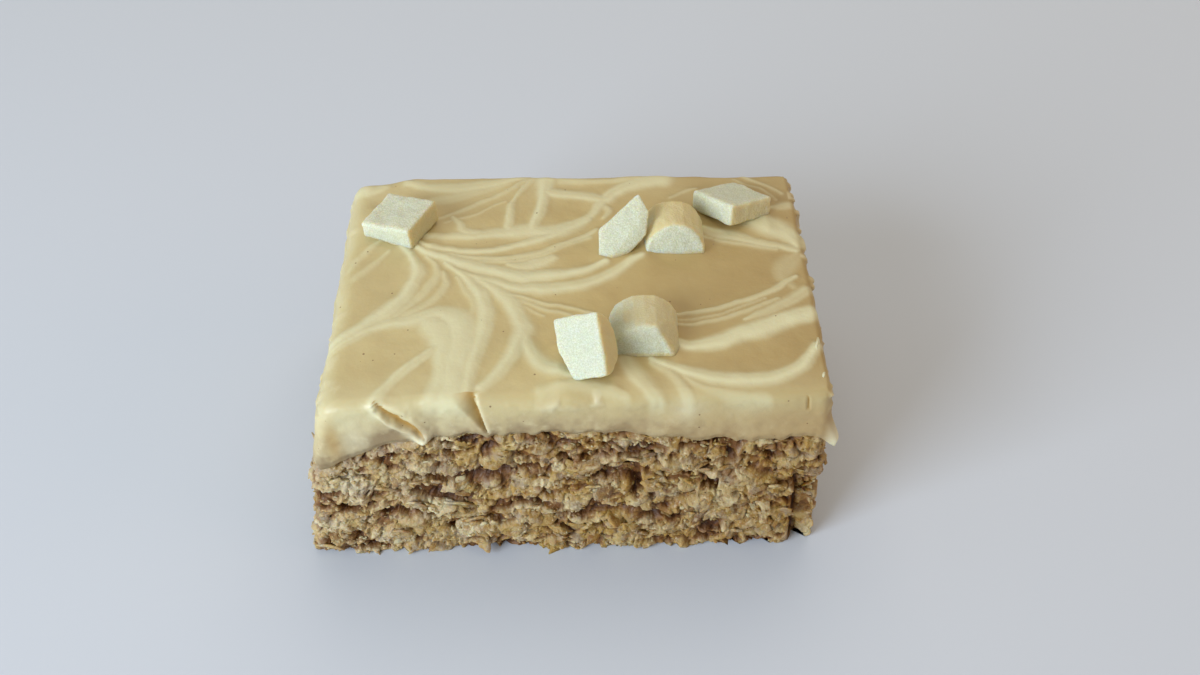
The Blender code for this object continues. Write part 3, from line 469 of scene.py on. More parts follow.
# Icing
# Caramel icing poured on the cold base, with a paler cream icing dragged through it by a fork
# before it set, so that the cream lies in bands that fan out from the back left. It was cut with
# the slice, and the knife has smeared and torn its cut front.
CREAM = (  # each band: its strength, then x, y and half width at points along it
    (0.95, (-28.4, 9.8, 0.5), (-26.2, 7.0, 0.8), (-25.2, 2.6, 1.0), (-26.2, -1.8, 1.1), (-29.0, -6.1, 1.1),
     (-34.0, -11.1, 1.0), (-37.4, -13.6, 0.9)),
    (0.6, (-23.6, 7.4, 0.3), (-21.8, 3.9, 0.6), (-22.1, 0.8, 0.7), (-24.6, -3.6, 0.7), (-29.0, -8.0, 0.8),
     (-34.6, -11.8, 0.7), (-37.4, -14.0, 0.6)),
    (0.55, (-20.8, 3.3, 0.4), (-20.3, -0.5, 0.6), (-22.8, -4.9, 0.7), (-27.8, -8.6, 0.8),
     (-34.0, -13.0, 0.7), (-38.0, -16.5, 0.6)),
    (0.9, (-38.0, -15.5, 0.7), (-34.0, -12.2, 0.8), (-29.0, -9.6, 1.0), (-24.5, -8.9, 1.3),
     (-20.8, -7.4, 1.4), (-18.0, -9.5, 2.2), (-17.0, -13.5, 2.5), (-17.6, -18.0, 2.3), (-18.2, -23.0, 2.0),
     (-18.4, -28.5, 2.6)),
    (0.9, (-22.4, -9.2, 1.6), (-20.6, -11.6, 2.2), (-19.6, -15.5, 2.0), (-19.3, -21.0, 1.4),
     (-20.6, -28.0, 1.6)),
    (0.85, (-20.6, -15.4, 0.8), (-23.0, -18.2, 0.8), (-25.9, -21.1, 0.8), (-28.4, -24.4, 0.8),
     (-29.8, -27.0, 0.9)),
    (0.9, (-20.5, 5.6, 0.3), (-17.6, 2.6, 0.7), (-15.4, -0.6, 1.0), (-13.9, -3.6, 1.2), (-13.3, -7.4, 1.3),
     (-13.5, -12.0, 1.3), (-14.3, -17.0, 1.1), (-15.4, -22.0, 0.9), (-15.9, -28.0, 0.9)),
    (0.5, (-18.4, 1.6, 0.3), (-17.0, -1.4, 0.5), (-15.4, -4.6, 0.5), (-15.4, -7.0, 0.6),
     (-17.6, -8.8, 0.8)),
    (0.85, (-14.6, 0.6, 0.4), (-12.6, -1.2, 0.8), (-10.2, -3.8, 1.1), (-8.3, -7.4, 1.3), (-7.2, -11.8, 1.4),
     (-8.3, -16.8, 1.2), (-10.4, -21.0, 1.0), (-13.6, -24.9, 0.8)),
    (0.85, (-7.2, -12.2, 0.8), (-6.0, -16.6, 1.2), (-4.0, -20.0, 1.3), (-1.0, -22.2, 1.0),
     (0.8, -23.2, 0.6)),
    (1.0, (-26.5, 10.0, 0.3), (-22.6, 8.0, 0.7), (-17.8, 5.5, 1.1), (-12.6, 3.1, 1.2), (-7.4, 1.5, 1.3),
     (-2.4, 1.4, 1.1), (2.2, 2.4, 0.8), (6.4, 4.6, 0.6)),
    (0.85, (-18.4, 3.9, 0.3), (-14.6, 1.2, 0.8), (-9.6, -0.9, 1.1), (-4.2, -1.9, 1.3), (0.6, -1.6, 1.2),
     (5.0, 0.3, 1.1), (9.2, 3.0, 0.9), (12.8, 5.8, 0.7)),
    (0.6, (-12.4, -1.4, 0.2), (-9.0, -3.3, 0.4), (-5.2, -4.9, 0.4), (-0.6, -6.6, 0.35), (4.4, -8.2, 0.3)),
    (0.5, (-11.6, -2.4, 0.2), (-8.2, -4.6, 0.35), (-4.0, -6.6, 0.4), (0.4, -8.9, 0.4)),
    (0.4, (-10.6, -4.0, 0.2), (-7.0, -6.2, 0.3), (-3.6, -8.4, 0.3)),
    (0.8, (-25.0, 12.4, 0.6), (-20.6, 12.6, 0.8), (-15.6, 13.2, 0.9), (-10.8, 13.6, 1.2), (-6.4, 14.0, 1.5),
     (-2.4, 13.6, 1.5), (1.6, 15.2, 1.1), (4.2, 18.0, 0.8), (6.2, 21.8, 0.9)),
    (0.75, (-20.0, 18.0, 0.4), (-18.6, 16.0, 0.7), (-17.8, 14.4, 0.9), (-14.8, 13.6, 0.8)),
    (0.85, (-25.6, 10.6, 0.3), (-21.6, 9.5, 0.6), (-17.0, 8.6, 0.7), (-12.6, 8.6, 0.7), (-8.4, 10.0, 0.8),
     (-4.0, 12.0, 1.0), (0.6, 14.4, 0.8), (4.2, 17.0, 0.5)),
    (0.7, (-20.4, 8.0, 0.3), (-16.0, 6.8, 0.5), (-11.4, 6.2, 0.6), (-7.0, 7.0, 0.6), (-2.6, 8.9, 0.6),
     (2.0, 11.6, 0.5), (5.4, 14.2, 0.4)),
    (0.6, (-14.6, 5.6, 0.3), (-10.0, 5.4, 0.5), (-5.4, 6.6, 0.5), (-0.8, 9.0, 0.5), (3.8, 12.0, 0.5)),
    (0.75, (-9.6, 4.6, 0.5), (-6.6, 4.4, 1.2), (-4.2, 5.0, 1.5), (-2.2, 6.2, 0.9)),
    (0.8, (-9.7, 21.6, 0.5), (-9.8, 18.0, 0.6), (-9.9, 14.8, 0.8)),
    (0.65, (-9.7, 21.6, 0.4), (-8.8, 24.0, 0.4), (-6.8, 27.4, 0.5), (-5.4, 29.6, 0.5)),
    (0.9, (-3.6, 29.6, 1.6), (-3.9, 26.4, 1.2), (-4.2, 22.4, 0.9), (-4.9, 18.4, 0.9), (-5.8, 14.6, 0.9)),
    (0.8, (-3.8, 25.6, 1.2), (-0.4, 24.6, 1.1), (3.6, 23.9, 1.1), (7.0, 22.8, 1.2), (9.0, 24.8, 1.2),
     (12.6, 27.2, 1.5), (17.4, 28.6, 2.0)),
    (0.6, (-0.6, 29.2, 1.2), (3.0, 28.4, 0.8), (8.0, 28.6, 0.7), (13.0, 29.2, 1.2)),
    (0.6, (6.0, 21.6, 0.7), (7.4, 19.4, 0.6), (6.8, 17.4, 0.4)),
    (0.8, (-28.6, 28.4, 0.8), (-24.0, 27.2, 1.1), (-19.4, 26.7, 1.3), (-14.6, 27.4, 1.2),
     (-10.0, 29.0, 0.8), (-6.4, 30.2, 0.6)),
    (0.6, (-23.4, 23.0, 1.1), (-19.6, 24.4, 1.2), (-15.0, 26.0, 0.9), (-10.4, 28.2, 0.6)),
    (0.55, (-22.4, 17.4, 0.3), (-17.8, 20.8, 0.5), (-12.8, 24.0, 0.5), (-8.6, 27.2, 0.5),
     (-5.4, 30.0, 0.4)),
    (0.4, (-21.4, 16.6, 0.3), (-15.6, 19.4, 0.35), (-10.8, 22.6, 0.3)),
    (0.75, (22.0, 13.2, 0.7), (25.4, 12.0, 1.0), (29.4, 11.2, 1.0), (33.2, 9.4, 0.9), (39.4, 7.4, 0.7)),
    (0.6, (22.0, 10.8, 0.3), (26.6, 10.2, 0.4), (31.4, 8.8, 0.5), (36.4, 7.2, 0.4)),
    (0.8, (29.4, 15.8, 0.8), (32.6, 15.2, 1.6), (35.6, 13.6, 2.2), (38.4, 11.4, 1.6), (40.0, 8.8, 0.9)),
    (0.6, (36.4, 19.4, 0.5), (38.4, 20.0, 0.9), (39.8, 20.2, 0.9)),
    (0.5, (32.4, 29.2, 0.3), (35.2, 27.0, 0.4), (38.8, 23.4, 0.4)),
    (0.4, (31.0, 28.2, 0.2), (34.4, 25.2, 0.35), (37.6, 21.8, 0.3)),
    (0.4, (18.6, 23.0, 0.3), (21.2, 24.6, 0.5), (23.6, 25.0, 0.4)),
    (0.75, (16.6, -9.2, 0.2), (20.6, -8.6, 0.4), (24.6, -7.7, 0.5), (29.6, -5.9, 0.5), (34.4, -3.0, 0.5),
     (38.6, 0.2, 0.4)),
    (0.55, (17.0, -11.4, 0.2), (21.0, -11.1, 0.4), (25.4, -10.2, 0.45), (30.0, -8.3, 0.45),
     (34.6, -5.4, 0.4)),
    (0.4, (17.6, -10.3, 0.2), (22.0, -9.8, 0.3), (27.0, -8.4, 0.3), (32.6, -5.4, 0.3)),
    (0.95, (16.4, -15.8, 0.8), (19.6, -16.4, 1.1), (23.4, -15.9, 1.4), (28.0, -14.2, 1.6),
     (33.2, -11.9, 1.6), (39.8, -9.4, 1.4)),
    (0.6, (29.0, -10.6, 0.3), (32.8, -8.6, 0.9), (36.4, -6.2, 1.2), (40.0, -3.4, 1.0)),
    (0.95, (13.4, -19.4, 0.4), (16.4, -21.2, 0.8), (20.8, -23.3, 1.1), (26.4, -24.6, 1.25),
     (32.0, -24.2, 1.2), (36.4, -21.8, 1.1), (39.8, -17.4, 0.9)),
    (0.7, (9.4, -19.4, 1.0), (10.4, -22.4, 1.4), (12.0, -25.4, 1.2), (13.6, -28.0, 0.9)),
    (0.6, (13.4, -20.2, 0.4), (15.8, -22.8, 0.8), (17.8, -26.2, 0.9), (18.6, -28.8, 0.9)),
    (0.5, (17.0, -22.0, 0.3), (20.0, -25.2, 0.6), (24.6, -27.4, 0.8), (30.0, -28.2, 0.9)),
    (0.55, (-4.0, -26.0, 0.9), (0.4, -25.2, 1.0), (5.0, -26.0, 1.0), (8.8, -27.4, 0.7)),
    (0.45, (-30.6, 8.6, 0.3), (-32.8, 5.1, 0.6), (-35.6, 1.8, 0.7)),
    (0.45, (-32.0, 11.6, 0.3), (-34.4, 8.0, 0.6), (-36.8, 4.4, 0.6)),
    (0.3, (-38.4, 26.0, 1.6), (-38.0, 15.0, 1.3), (-37.6, 5.0, 1.2), (-37.6, -5.0, 1.2),
     (-37.4, -14.0, 1.3), (-37.8, -24.0, 1.5), (-37.4, -29.0, 1.8)),
    (0.75, (-37.0, 27.0, 1.8), (-34.4, 26.4, 1.2), (-32.6, 27.6, 0.8)),
    (0.35, (-38.0, -28.8, 1.6), (-33.0, -28.6, 1.3), (-28.0, -28.4, 1.0), (-24.0, -28.2, 0.8)),
    (0.35, (39.8, 6.4, 0.8), (37.6, 3.4, 1.6), (36.4, 0.4, 1.2), (37.8, -2.4, 0.7)),
)
RELIEF = 0.38             # the cream stands this proud in the middle of a band
COLLAR = 0.45             # and the icing rises by this much where a piece has sunk in
SLUMP, SLUMP_REACH = 0.9, 11.0
CHOCOLATE = [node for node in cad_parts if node.startswith("chunk")]


def bell(*offsets):
    """1 in the middle, falling with the squares of the offsets, each counted in its own widths."""
    return np.exp(-sum(offset ** 2 for offset in offsets))


def band_path(knots, steps=12):
    """A smooth curve through the knots, as rows of x, y and half width: between two knots, the
    cubic that leaves and reaches them along the line between their neighbours."""
    knots = np.array(knots)
    padded = np.vstack((2 * knots[0] - knots[1], knots, 2 * knots[-1] - knots[-2]))[:, None]
    before, start, end, after = padded[:-3], padded[1:-2], padded[2:-1], padded[3:]
    run = np.linspace(0.0, 1.0, steps, endpoint=False)[:, None]
    curve = 2 * start + (end - before) * run + (2 * before - 5 * start + 4 * end - after) * run ** 2
    curve = 0.5 * (curve + (3 * start - before - 3 * end + after) * run ** 3)
    return np.vstack((curve.reshape(-1, 3), knots[-1:]))


def swirls(x, y):
    """Cream from 0 to 1, and the share of the relief. The distance from a band's path, in half
    widths, gives full cream up to 0.5 and none from 1.75, with fine streaks along a narrow band, a
    thin veil beyond it, and a bell of relief. Cream also thickens to the left, front and back."""
    flat = points_of(x, y, 0.0)
    bent_x = x + layered(flat, (0.35, 4.0, 51), (0.12, 1.4, 53))
    bent_y = y + layered(flat, (0.35, 4.0, 52), (0.12, 1.4, 54))
    cream, relief = np.zeros_like(x), np.zeros_like(x)
    for strength, *knots in CREAM:
        path = band_path(knots)
        margin = 3.5 * path[:, 2].max()
        low_x, low_y = path[:, :2].min(axis=0) - margin
        high_x, high_y = path[:, :2].max(axis=0) + margin
        near = np.flatnonzero((bent_x > low_x) & (bent_x < high_x) & (bent_y > low_y) & (bent_y < high_y))
        away_x = bent_x[near, None] - path[:, 0]
        away_y = bent_y[near, None] - path[:, 1]
        widths_away = np.hypot(away_x, away_y) / path[:, 2]
        nearest = widths_away.argmin(axis=1)
        pick = (np.arange(len(near)), nearest)
        across = widths_away[pick]
        run = np.gradient(path[:, :2], axis=0)[nearest]
        side = (away_x[pick] * run[:, 1] - away_y[pick] * run[:, 0]) / np.hypot(*run.T)
        streak = 0.5 + 0.5 * np.sin(4.2 * side + 0.03 * nearest + 9.0 * strength)
        narrow = smooth_step(1.8 - path[nearest, 2], 0.0, 0.8)
        core = strength * (1.0 - 0.22 * streak * narrow) * (1.0 - smooth_step(across, 0.5, 1.75))
        veil = 0.091 * strength * bell(across / 2.4)
        cream[near] = np.maximum(cream[near], core) + veil * (1.0 - cream[near])
        relief[near] = np.maximum(relief[near], strength * bell(across / 1.3))
    milky = 0.04 + 0.24 * smooth_step(-x, -8.0, 38.0) + 0.26 * smooth_step(-y, 19.0, 29.0)
    milky = milky + 0.1 * smooth_step(y, 16.0, 28.0)
    return cream + milky * (1.0 - cream), relief


def icing_top(x, y):
    """Height of the poured top, and its cream: level but for two noises, the relief of the bands,
    a slump that dies out from the front left corner, and a collar round each sunk piece."""
    cream, relief = swirls(x, y)
    z = HEIGHT - 0.28 + RELIEF * relief + layered(points_of(x, y, 0.0), (0.22, 15.0, 5), (0.05, 2.2, 55))
    left, _, front = left_right_front(HEIGHT)
    for node in CHOCOLATE:
        low, high = (np.array(corner) / TO_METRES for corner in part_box(node))
        middle, half = (low + high) / 2, (high - low) / 2
        beyond_x = np.maximum(np.abs(x - middle[0]) - 0.8 * half[0], 0.0)
        beyond_y = np.maximum(np.abs(y - middle[1]) - 0.8 * half[1], 0.0)
        z = z + COLLAR * bell(beyond_x / 1.6, beyond_y / 1.6)
    return z - SLUMP * np.exp(-np.hypot(x - left, y - front) / SLUMP_REACH), cream


TEARS = (  # ends as x and z, half width, depth, and how far its two lips stand out
    ((-29.9, 34.3), (-22.6, 28.0), 0.8, 0.5, 0.55),
    ((36.9, 34.4), (37.1, 31.6), 0.2, 0.45, 0.0),
)
NOTCH_TOP, NOTCH_HEIGHT, NOTCH_DEPTH = 35.2, 7.2, 1.6  # a leaf that the knife has folded,
NOTCH_LEFT, NOTCH_RIGHT = (-18.0, 5.2), (-14.4, 1.7)   # between two lines: x at the top, and run


def tear(x, z, ragged, start, end, half_width, deep, lip):
    """One tear: how far it stands out and how pale it is. The slit is a bell across a line, widest
    half way along it and steeper on its upper side, with a lip as a wider bell on each side."""
    start, end = np.array(start), np.array(end)
    length = np.linalg.norm(end - start)
    run_x, run_z = (end - start) / length
    along = ((x - start[0]) * run_x + (z - start[1]) * run_z) / length
    across = (x - start[0]) * run_z - (z - start[1]) * run_x + 0.25 * half_width * ragged
    inside = np.clip(along, 0.0, 1.0)
    width = half_width * (0.3 + np.sin(np.pi * inside) ** 0.7) / 1.3
    beyond = np.maximum(np.maximum(-along, along - 1.0), 0.0) * length
    offset = across / width + 0.25
    slit = bell(np.maximum(offset, 0.0), np.minimum(offset, 0.0) / 0.5, beyond / width)
    upper = bell(np.hypot(across + 1.9 * width + 0.25, beyond) / (1.2 * half_width + 0.2))
    lower_width = half_width * (0.35 + 0.4 * inside) + 0.15
    lower = bell(np.hypot(across - 1.7 * width - 0.1, beyond) / lower_width)
    lips = (1.0 + 0.3 * ragged) * upper + 0.8 * (1.0 + 0.5 * ragged) * lower
    return lip * lips - deep * slit, lip * (0.2 * upper + 0.9 * lower) - 1.3 * slit


def front_marks(x, z):
    """Marks of the cut front: how far it stands out, how pale it is, and how grey. They are the
    tears, the notch, which deepens evenly from its left line to its right and is painted less pale
    as it deepens, partly as painted shade, a patch torn by noise at the middle of the rim, and soft
    stains as bells. The grey is a painted shade as a bell below the long tear, with ragged noise."""
    out, pale = 0.0, 0.0
    spots = points_of(x, 0.0, z)
    ragged = layered(spots, (1.0, 1.3, 65), (0.6, 0.6, 66))
    for row in TEARS:
        tear_out, tear_pale = tear(x, z, ragged, *row)
        out = out + tear_out
        pale = pale + tear_pale
    fallen = (NOTCH_TOP - z) / NOTCH_HEIGHT
    left = NOTCH_LEFT[0] + NOTCH_LEFT[1] * fallen
    right = NOTCH_RIGHT[0] + NOTCH_RIGHT[1] * fallen
    share = np.clip((x - left) / np.maximum(right - left, 0.05), 0.0, 1.0)
    notch = share * (x > left) * smooth_step(right + 0.15 - x, 0.0, 0.3) * smooth_step(z, 27.6, 28.4)
    edge = bell((x - right - 0.35) / 0.35) * smooth_step(z, 27.6, 28.6)
    broken = layered(spots, (1.0, 2.3, 68), (0.6, 0.9, 69))
    torn = 0.8 * bell((x + 1.6) / 2.4, z - 33.2) * smooth_step(broken, -0.7, 0.4)
    torn = torn + bell((x - 2.6) / 2.8, (z - 34.2) / 0.9) * smooth_step(broken, 0.0, 0.5)
    stains = 0.4 * bell((x - 18.4) / 2.4, (z - 32.0) / 2.0) + 0.4 * bell((x + 33.6) / 2.2, (z - 27.5) / 4.0)
    stains = stains - 0.6 * bell((x + 36.9) / 1.3, (z - 27.0) / 4.0)
    out = out - NOTCH_DEPTH * notch + 0.4 * torn
    pale = pale + 0.5 * edge - 1.1 * notch + 0.9 * torn + stains
    return out, pale, 0.5 * bell((x + 28.4) / 2.6, (z - 27.0) / 2.2) + 0.12 * ragged


def caramel_icing():
    """Caramel and cream icing, poured and then cut. The eye sees a smooth satin top, and sides
    that are duller, greyer towards the foot and smeared along the knife's way, with dark specks,
    and on the cut front a painted shade in the notch and below the long tear."""
    made, tree, shader, mm = new_material("caramel icing", 0.5, 0.25, (1.6, 1.1, 0.6))
    cream, cut, low, pale = (add(tree, "Attribute", {}, "Fac", attribute_name=label)
                             for label in ("cream", "cut", "low", "pale"))
    soft = add(tree, "TexNoise", {"Vector": mm, "Scale": 1 / 9.0, "Detail": 3.0})
    soft = add(tree, "ValToRGB", {0: soft}, stops=((0.35, 0.0), (0.7, 1.0)))
    along = add(tree, "SeparateXYZ", {0: mm})
    far = add(tree, "MapRange", {0: along, 1: -2.0, 2: 38.0, 3: 0.0, 4: 0.72})
    top = "#B69F65"
    for share, hue in ((soft, "#C4B076"), (far, "#A18449"), (cream, "#D6D2A9")):
        top = add(tree, "Mix", {0: share, 6: top, 7: hue}, 2, data_type="RGBA")
    stretched = add(tree, "VectorMath", {0: mm, 1: (0.5, 1.0, 1.0)}, operation="MULTIPLY")
    smear = add(tree, "TexNoise", {"Vector": stretched, "Scale": 1 / 3.2, "Detail": 4.0})
    smear = add(tree, "Math", {0: smear, 1: 0.5}, operation="SUBTRACT")
    fallen = add(tree, "Math", {0: smear, 1: 0.7, 2: low}, operation="MULTIPLY_ADD")
    side = add(tree, "ValToRGB", {0: fallen}, stops=(
        (0.0, "#CBBE8E"), (0.35, "#C2B284"), (0.7, "#AE9C75"), (1.0, "#937F5C")))
    near_top = add(tree, "Math", {0: low, 1: -0.6, 2: 0.6}, operation="MULTIPLY_ADD")
    flecks = add(tree, "TexNoise", {"Vector": mm, "Scale": 1 / 1.6, "Detail": 3.0})
    flecks = add(tree, "ValToRGB", {0: flecks}, stops=((0.55, 0.0), (0.75, 0.4)))
    for share, hue in ((near_top, top), (flecks, "#D6CBA2"), (far, "#AE9260")):
        side = add(tree, "Mix", {0: share, 6: side, 7: hue}, 2, data_type="RGBA")
    # A speck lies in each cell whose chance is over 0.7, and grows with it.
    dots = add(tree, "TexVoronoi", {"Vector": mm, "Scale": 1 / 1.7}, "Distance")
    chance = add(tree, "SeparateColor", {0: dots.node.outputs["Color"]})
    chance = add(tree, "Math", {0: chance, 1: 0.7}, operation="SUBTRACT")
    limit = add(tree, "Math", {0: chance, 1: 0.38}, operation="MULTIPLY")
    speck = add(tree, "Math", {0: dots, 1: limit}, operation="LESS_THAN")
    speck = add(tree, "Math", {0: speck, 1: 0.75}, operation="MULTIPLY")
    creamy = add(tree, "Math", {0: pale, 1: 0.0}, operation="MAXIMUM")
    # Below zero, pale turns the icing golden: the caramel in the tear's slit, and in the notch, growing as
    # it deepens, partly painted shade.
    golden = add(tree, "Math", {0: pale, 1: -0.95}, operation="MULTIPLY")
    golden = add(tree, "Math", {0: golden, 1: 0.0}, operation="MAXIMUM")
    colour = top
    for share, hue in ((cut, side), (creamy, "#E2DCB8"), (golden, "#B0893F"), (speck, "#6E4A24")):
        colour = add(tree, "Mix", {0: share, 6: colour, 7: hue}, 2, data_type="RGBA")
    satin = add(tree, "ValToRGB", {0: cut}, stops=((0.0, 0.42), (1.0, 0.6)))
    pits = add(tree, "TexNoise", {"Vector": mm, "Scale": 1 / 0.8, "Detail": 4.0})
    waves = add(tree, "TexNoise", {"Vector": mm, "Scale": 1 / 3.0, "Detail": 2.0})
    relief = add(tree, "Math", {0: pits, 1: 0.4, 2: waves}, operation="MULTIPLY_ADD")
    normal = add(tree, "Bump", {"Height": relief, "Distance": 0.12 * TO_METRES})
    tree.links.new(colour, shader.inputs["Base Color"])
    tree.links.new(satin, shader.inputs["Roughness"])
    tree.links.new(normal, shader.inputs["Normal"])
    return made


PROUD = 0.5               # the icing overhangs the base at the front and right by this much
PLAN_RADIUS = 2.0
ROUND_LEFT, ROUND_RIGHT, ROUND_FRONT, ROUND_BACK = 3.2, 1.0, 1.9, 1.5
RIM_DROP = 2.0            # the rim's outline in plan is taken this far below the top
LIP_LEVEL = -0.03         # the lip's middle height, from the join
TOP_STEPS = (270, 196)    # points of the top along X and along Y
RIM_STEPS, WALL_STEPS = 8, 29
LIP_IN = (0.25, 0.7, 1.6, 3.2)     # the lip turns in under the icing by these distances,
LIP_UP = (-0.12, 0.05, 0.3, 0.5)   # and up by these
LIP_TUCK = 0.55
FLAP, FLAP_SIZE = (40.8, -27.2, 2.0), 2.2  # hangs at the front right corner: x, y, half width
DRIP = (-23.0, 1.5)                # hangs under the long tear: x and half width


def icing_side(part_x, part_y, z):
    """The icing's sides at height z, for shares of its length and depth: the base's sides moved
    out, with each corner point that lies beyond a circle in plan drawn back onto it."""
    left, right, front = left_right_front(z)
    right, front = right + PROUD, front - PROUD
    x = left + (right - left) * part_x
    back = back_side(x, z)
    y = front + (back - front) * part_y
    for side_x, inner_x in ((left, 1.0), (right, -1.0)):
        for side_y, inner_y in ((front, 1.0), (back, -1.0)):
            from_x = x - (side_x + inner_x * PLAN_RADIUS)
            from_y = y - (side_y + inner_y * PLAN_RADIUS)
            reach = np.hypot(from_x, from_y)
            outside = (from_x * inner_x < 0) & (from_y * inner_y < 0) & (reach > PLAN_RADIUS)
            pull = np.where(outside, PLAN_RADIUS / np.maximum(reach, 1e-6), 1.0)
            x, y = x + from_x * (pull - 1.0), y + from_y * (pull - 1.0)
    return x, y


def round_mean(values, half):
    """Running mean round a closed loop, over this many neighbours each way."""
    total = sum(np.roll(values, step, axis=0) for step in range(-half, half + 1))
    return total / (2 * half + 1)


# The top is a grid, drawn in from the outline by the radius of each rim.
steps_x, steps_y = TOP_STEPS
share_x, share_y = np.meshgrid(np.linspace(0, 1, steps_x), np.linspace(0, 1, steps_y), indexing="ij")
left, right, front = left_right_front(HEIGHT)
flat_left = left + ROUND_LEFT
flat_front = front - PROUD + ROUND_FRONT
grid_x = flat_left + (right + PROUD - ROUND_RIGHT - flat_left) * share_x
grid_y = flat_front + (back_side(grid_x, HEIGHT) - ROUND_BACK - flat_front) * share_y
top_z, cream = icing_top(grid_x.ravel(), grid_y.ravel())
index = np.arange(steps_x * steps_y).reshape(steps_x, steps_y)
top_faces = np.stack((index[:-1, :-1], index[1:, :-1], index[1:, 1:], index[:-1, 1:]), axis=-1)
loop = np.concatenate((index[:-1, 0], index[-1, :-1], index[:0:-1, -1], index[0, :0:-1]))
count = len(loop)

# The rim, the wall and the lip are rings round its edge. The rim is a quarter circle of turns
# from the grid's edge to the outline, and the wall falls from there to the ragged join.
loop_x, loop_y = share_x.ravel()[loop], share_y.ravel()[loop]
inner_x, inner_y = grid_x.ravel()[loop], grid_y.ravel()[loop]
span = (steps_x - 1, steps_y - 1, steps_x - 1, steps_y - 1)
radius = round_mean(np.repeat((ROUND_FRONT, ROUND_RIGHT, ROUND_BACK, ROUND_LEFT), span), 9)
normal = round_mean(np.repeat(np.array(((0, -1), (1, 0), (0, 1), (-1, 0)), float), span, axis=0), 5)
normal_x, normal_y = (normal / np.linalg.norm(normal, axis=1)[:, None]).T
rim_x, rim_y = icing_side(loop_x, loop_y, np.full(count, HEIGHT - RIM_DROP))
turns = np.radians(np.linspace(0, 90, RIM_STEPS + 1)[1:])[:, None]
bend_x = inner_x + (rim_x - inner_x) * np.sin(turns)
bend_y = inner_y + (rim_y - inner_y) * np.sin(turns)
bend_z, bend_cream = (v.reshape(bend_x.shape) for v in icing_top(bend_x.ravel(), bend_y.ravel()))
bend_z = bend_z - radius * (1.0 - np.cos(turns))
edge_waves = layered(points_of(rim_x, rim_y, 0.0), (0.35, 3.0, 61), (0.45, 1.2, 62), (0.32, 0.6, 67))
seam = seam_height(rim_x, rim_y) + LIP_LEVEL + edge_waves
fall = np.linspace(0, 1, WALL_STEPS + 1)[1:, None]
wall_z = bend_z[-1] + (seam - bend_z[-1]) * fall
wall_x, wall_y = icing_side(loop_x, loop_y, wall_z)
lip_in, lip_up = np.array((LIP_IN, LIP_UP))[:, :, None]
ring_x = np.vstack((bend_x, wall_x, wall_x[-1] - normal_x * lip_in))
ring_y = np.vstack((bend_y, wall_y, wall_y[-1] - normal_y * lip_in))
ring_z = np.vstack((bend_z, wall_z, seam + lip_up))

# The rings swell with noise, carry crumbs on the short sides and the knife's marks in front, and
# tuck in at the lip. Down counts from 0 at the rim to 1 at the join.
down = np.clip((bend_z[:1] - ring_z) / (bend_z[:1] - seam), 0.0, 1.0)
points = points_of(ring_x, ring_y, ring_z)
lumps = smooth_step(layered(points, (1.0, 1.7, 9), (0.5, 0.8, 10)), 0.25, 0.9)
lumps = lumps * (1.0 - smooth_step(down, 0.15, 0.5))
lumps = lumps * (smooth_step(normal_x, 0.5, 1.0) + 0.6 * smooth_step(-normal_x, 0.5, 1.0))
swell = layered(points, (0.35, 6.0, 6), (0.15, 2.6, 7), (0.05, 1.0, 8)) + 0.6 * lumps
marks, pale, grey = front_marks(ring_x, ring_z)
on_front = (normal_y < -0.7) * 1.0
depth = swell + marks * on_front - LIP_TUCK * smooth_step(down, 0.86, 1.0)
depth[:RIM_STEPS] *= np.sin(turns)
ring_x = ring_x + normal_x * depth
ring_y = ring_y + normal_y * depth
flap_x, flap_y, flap_half = FLAP
flap = smooth_step(down, 0.55, 1.0) * bell((ring_x - flap_x) / flap_half, (ring_y - flap_y) / flap_half)
flap = flap * smooth_step(normal_x, 0.3, 0.8)
drip = smooth_step(down, 0.7, 1.0) * bell((ring_x - DRIP[0]) / DRIP[1]) * on_front
hanging = points_of(ring_x + FLAP_SIZE * flap, ring_y - 0.7 * drip, ring_z - FLAP_SIZE * flap - 1.2 * drip)
pale = pale * on_front + 1.2 * flap + 0.8 * drip + 0.5 * lumps
rings = len(hanging)
ring_index = np.vstack((loop, index.size + np.arange(rings * count).reshape(rings, count)))
after = np.roll(ring_index, -1, axis=1)
ring_faces = np.stack((ring_index[:-1], ring_index[1:], after[1:], after[:-1]), axis=-1)
ring_cream = np.vstack((bend_cream, np.repeat(bend_cream[-1:], rings - RIM_STEPS, axis=0)))
blank = np.zeros(index.size)
# low darkens the sides towards the foot, and on the front grey adds a painted shade below the long tear.
looks = {
    "cream": np.concatenate((cream, ring_cream.ravel())),
    "cut": np.concatenate((blank, smooth_step(down, 0.06, 0.5).ravel())),
    "low": np.concatenate((blank, np.clip(down + grey * on_front, 0.0, 1.0).ravel())),
    "pale": np.concatenate((blank, np.clip(pale, -1.0, 1.0).ravel())),
}
all_points = np.vstack((points_of(grid_x.ravel(), grid_y.ravel(), top_z), hanging.reshape(-1, 3)))
all_faces = np.vstack((top_faces.reshape(-1, 4), ring_faces.reshape(-1, 4)))
icing_look = caramel_icing()
icing = mesh_piece("caramel_icing", all_points, all_faces, looks, icing_look)
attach(icing, "root")
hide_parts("icing")


# White chocolate
# Six pieces of white chocolate, broken from a bar and from small buttons and dropped on while the
# icing was soft. Their faces are dusty with bloom, and the ones that were pushed in are smeared.
# Faces turned one way are painted warm tan as well, mostly as painted shade, and on the front
# half as painted light.
VOXEL = 0.22              # spacing of the even mesh that carries the dents
WET_LEVEL = 35.9          # below about this height a piece has icing on it


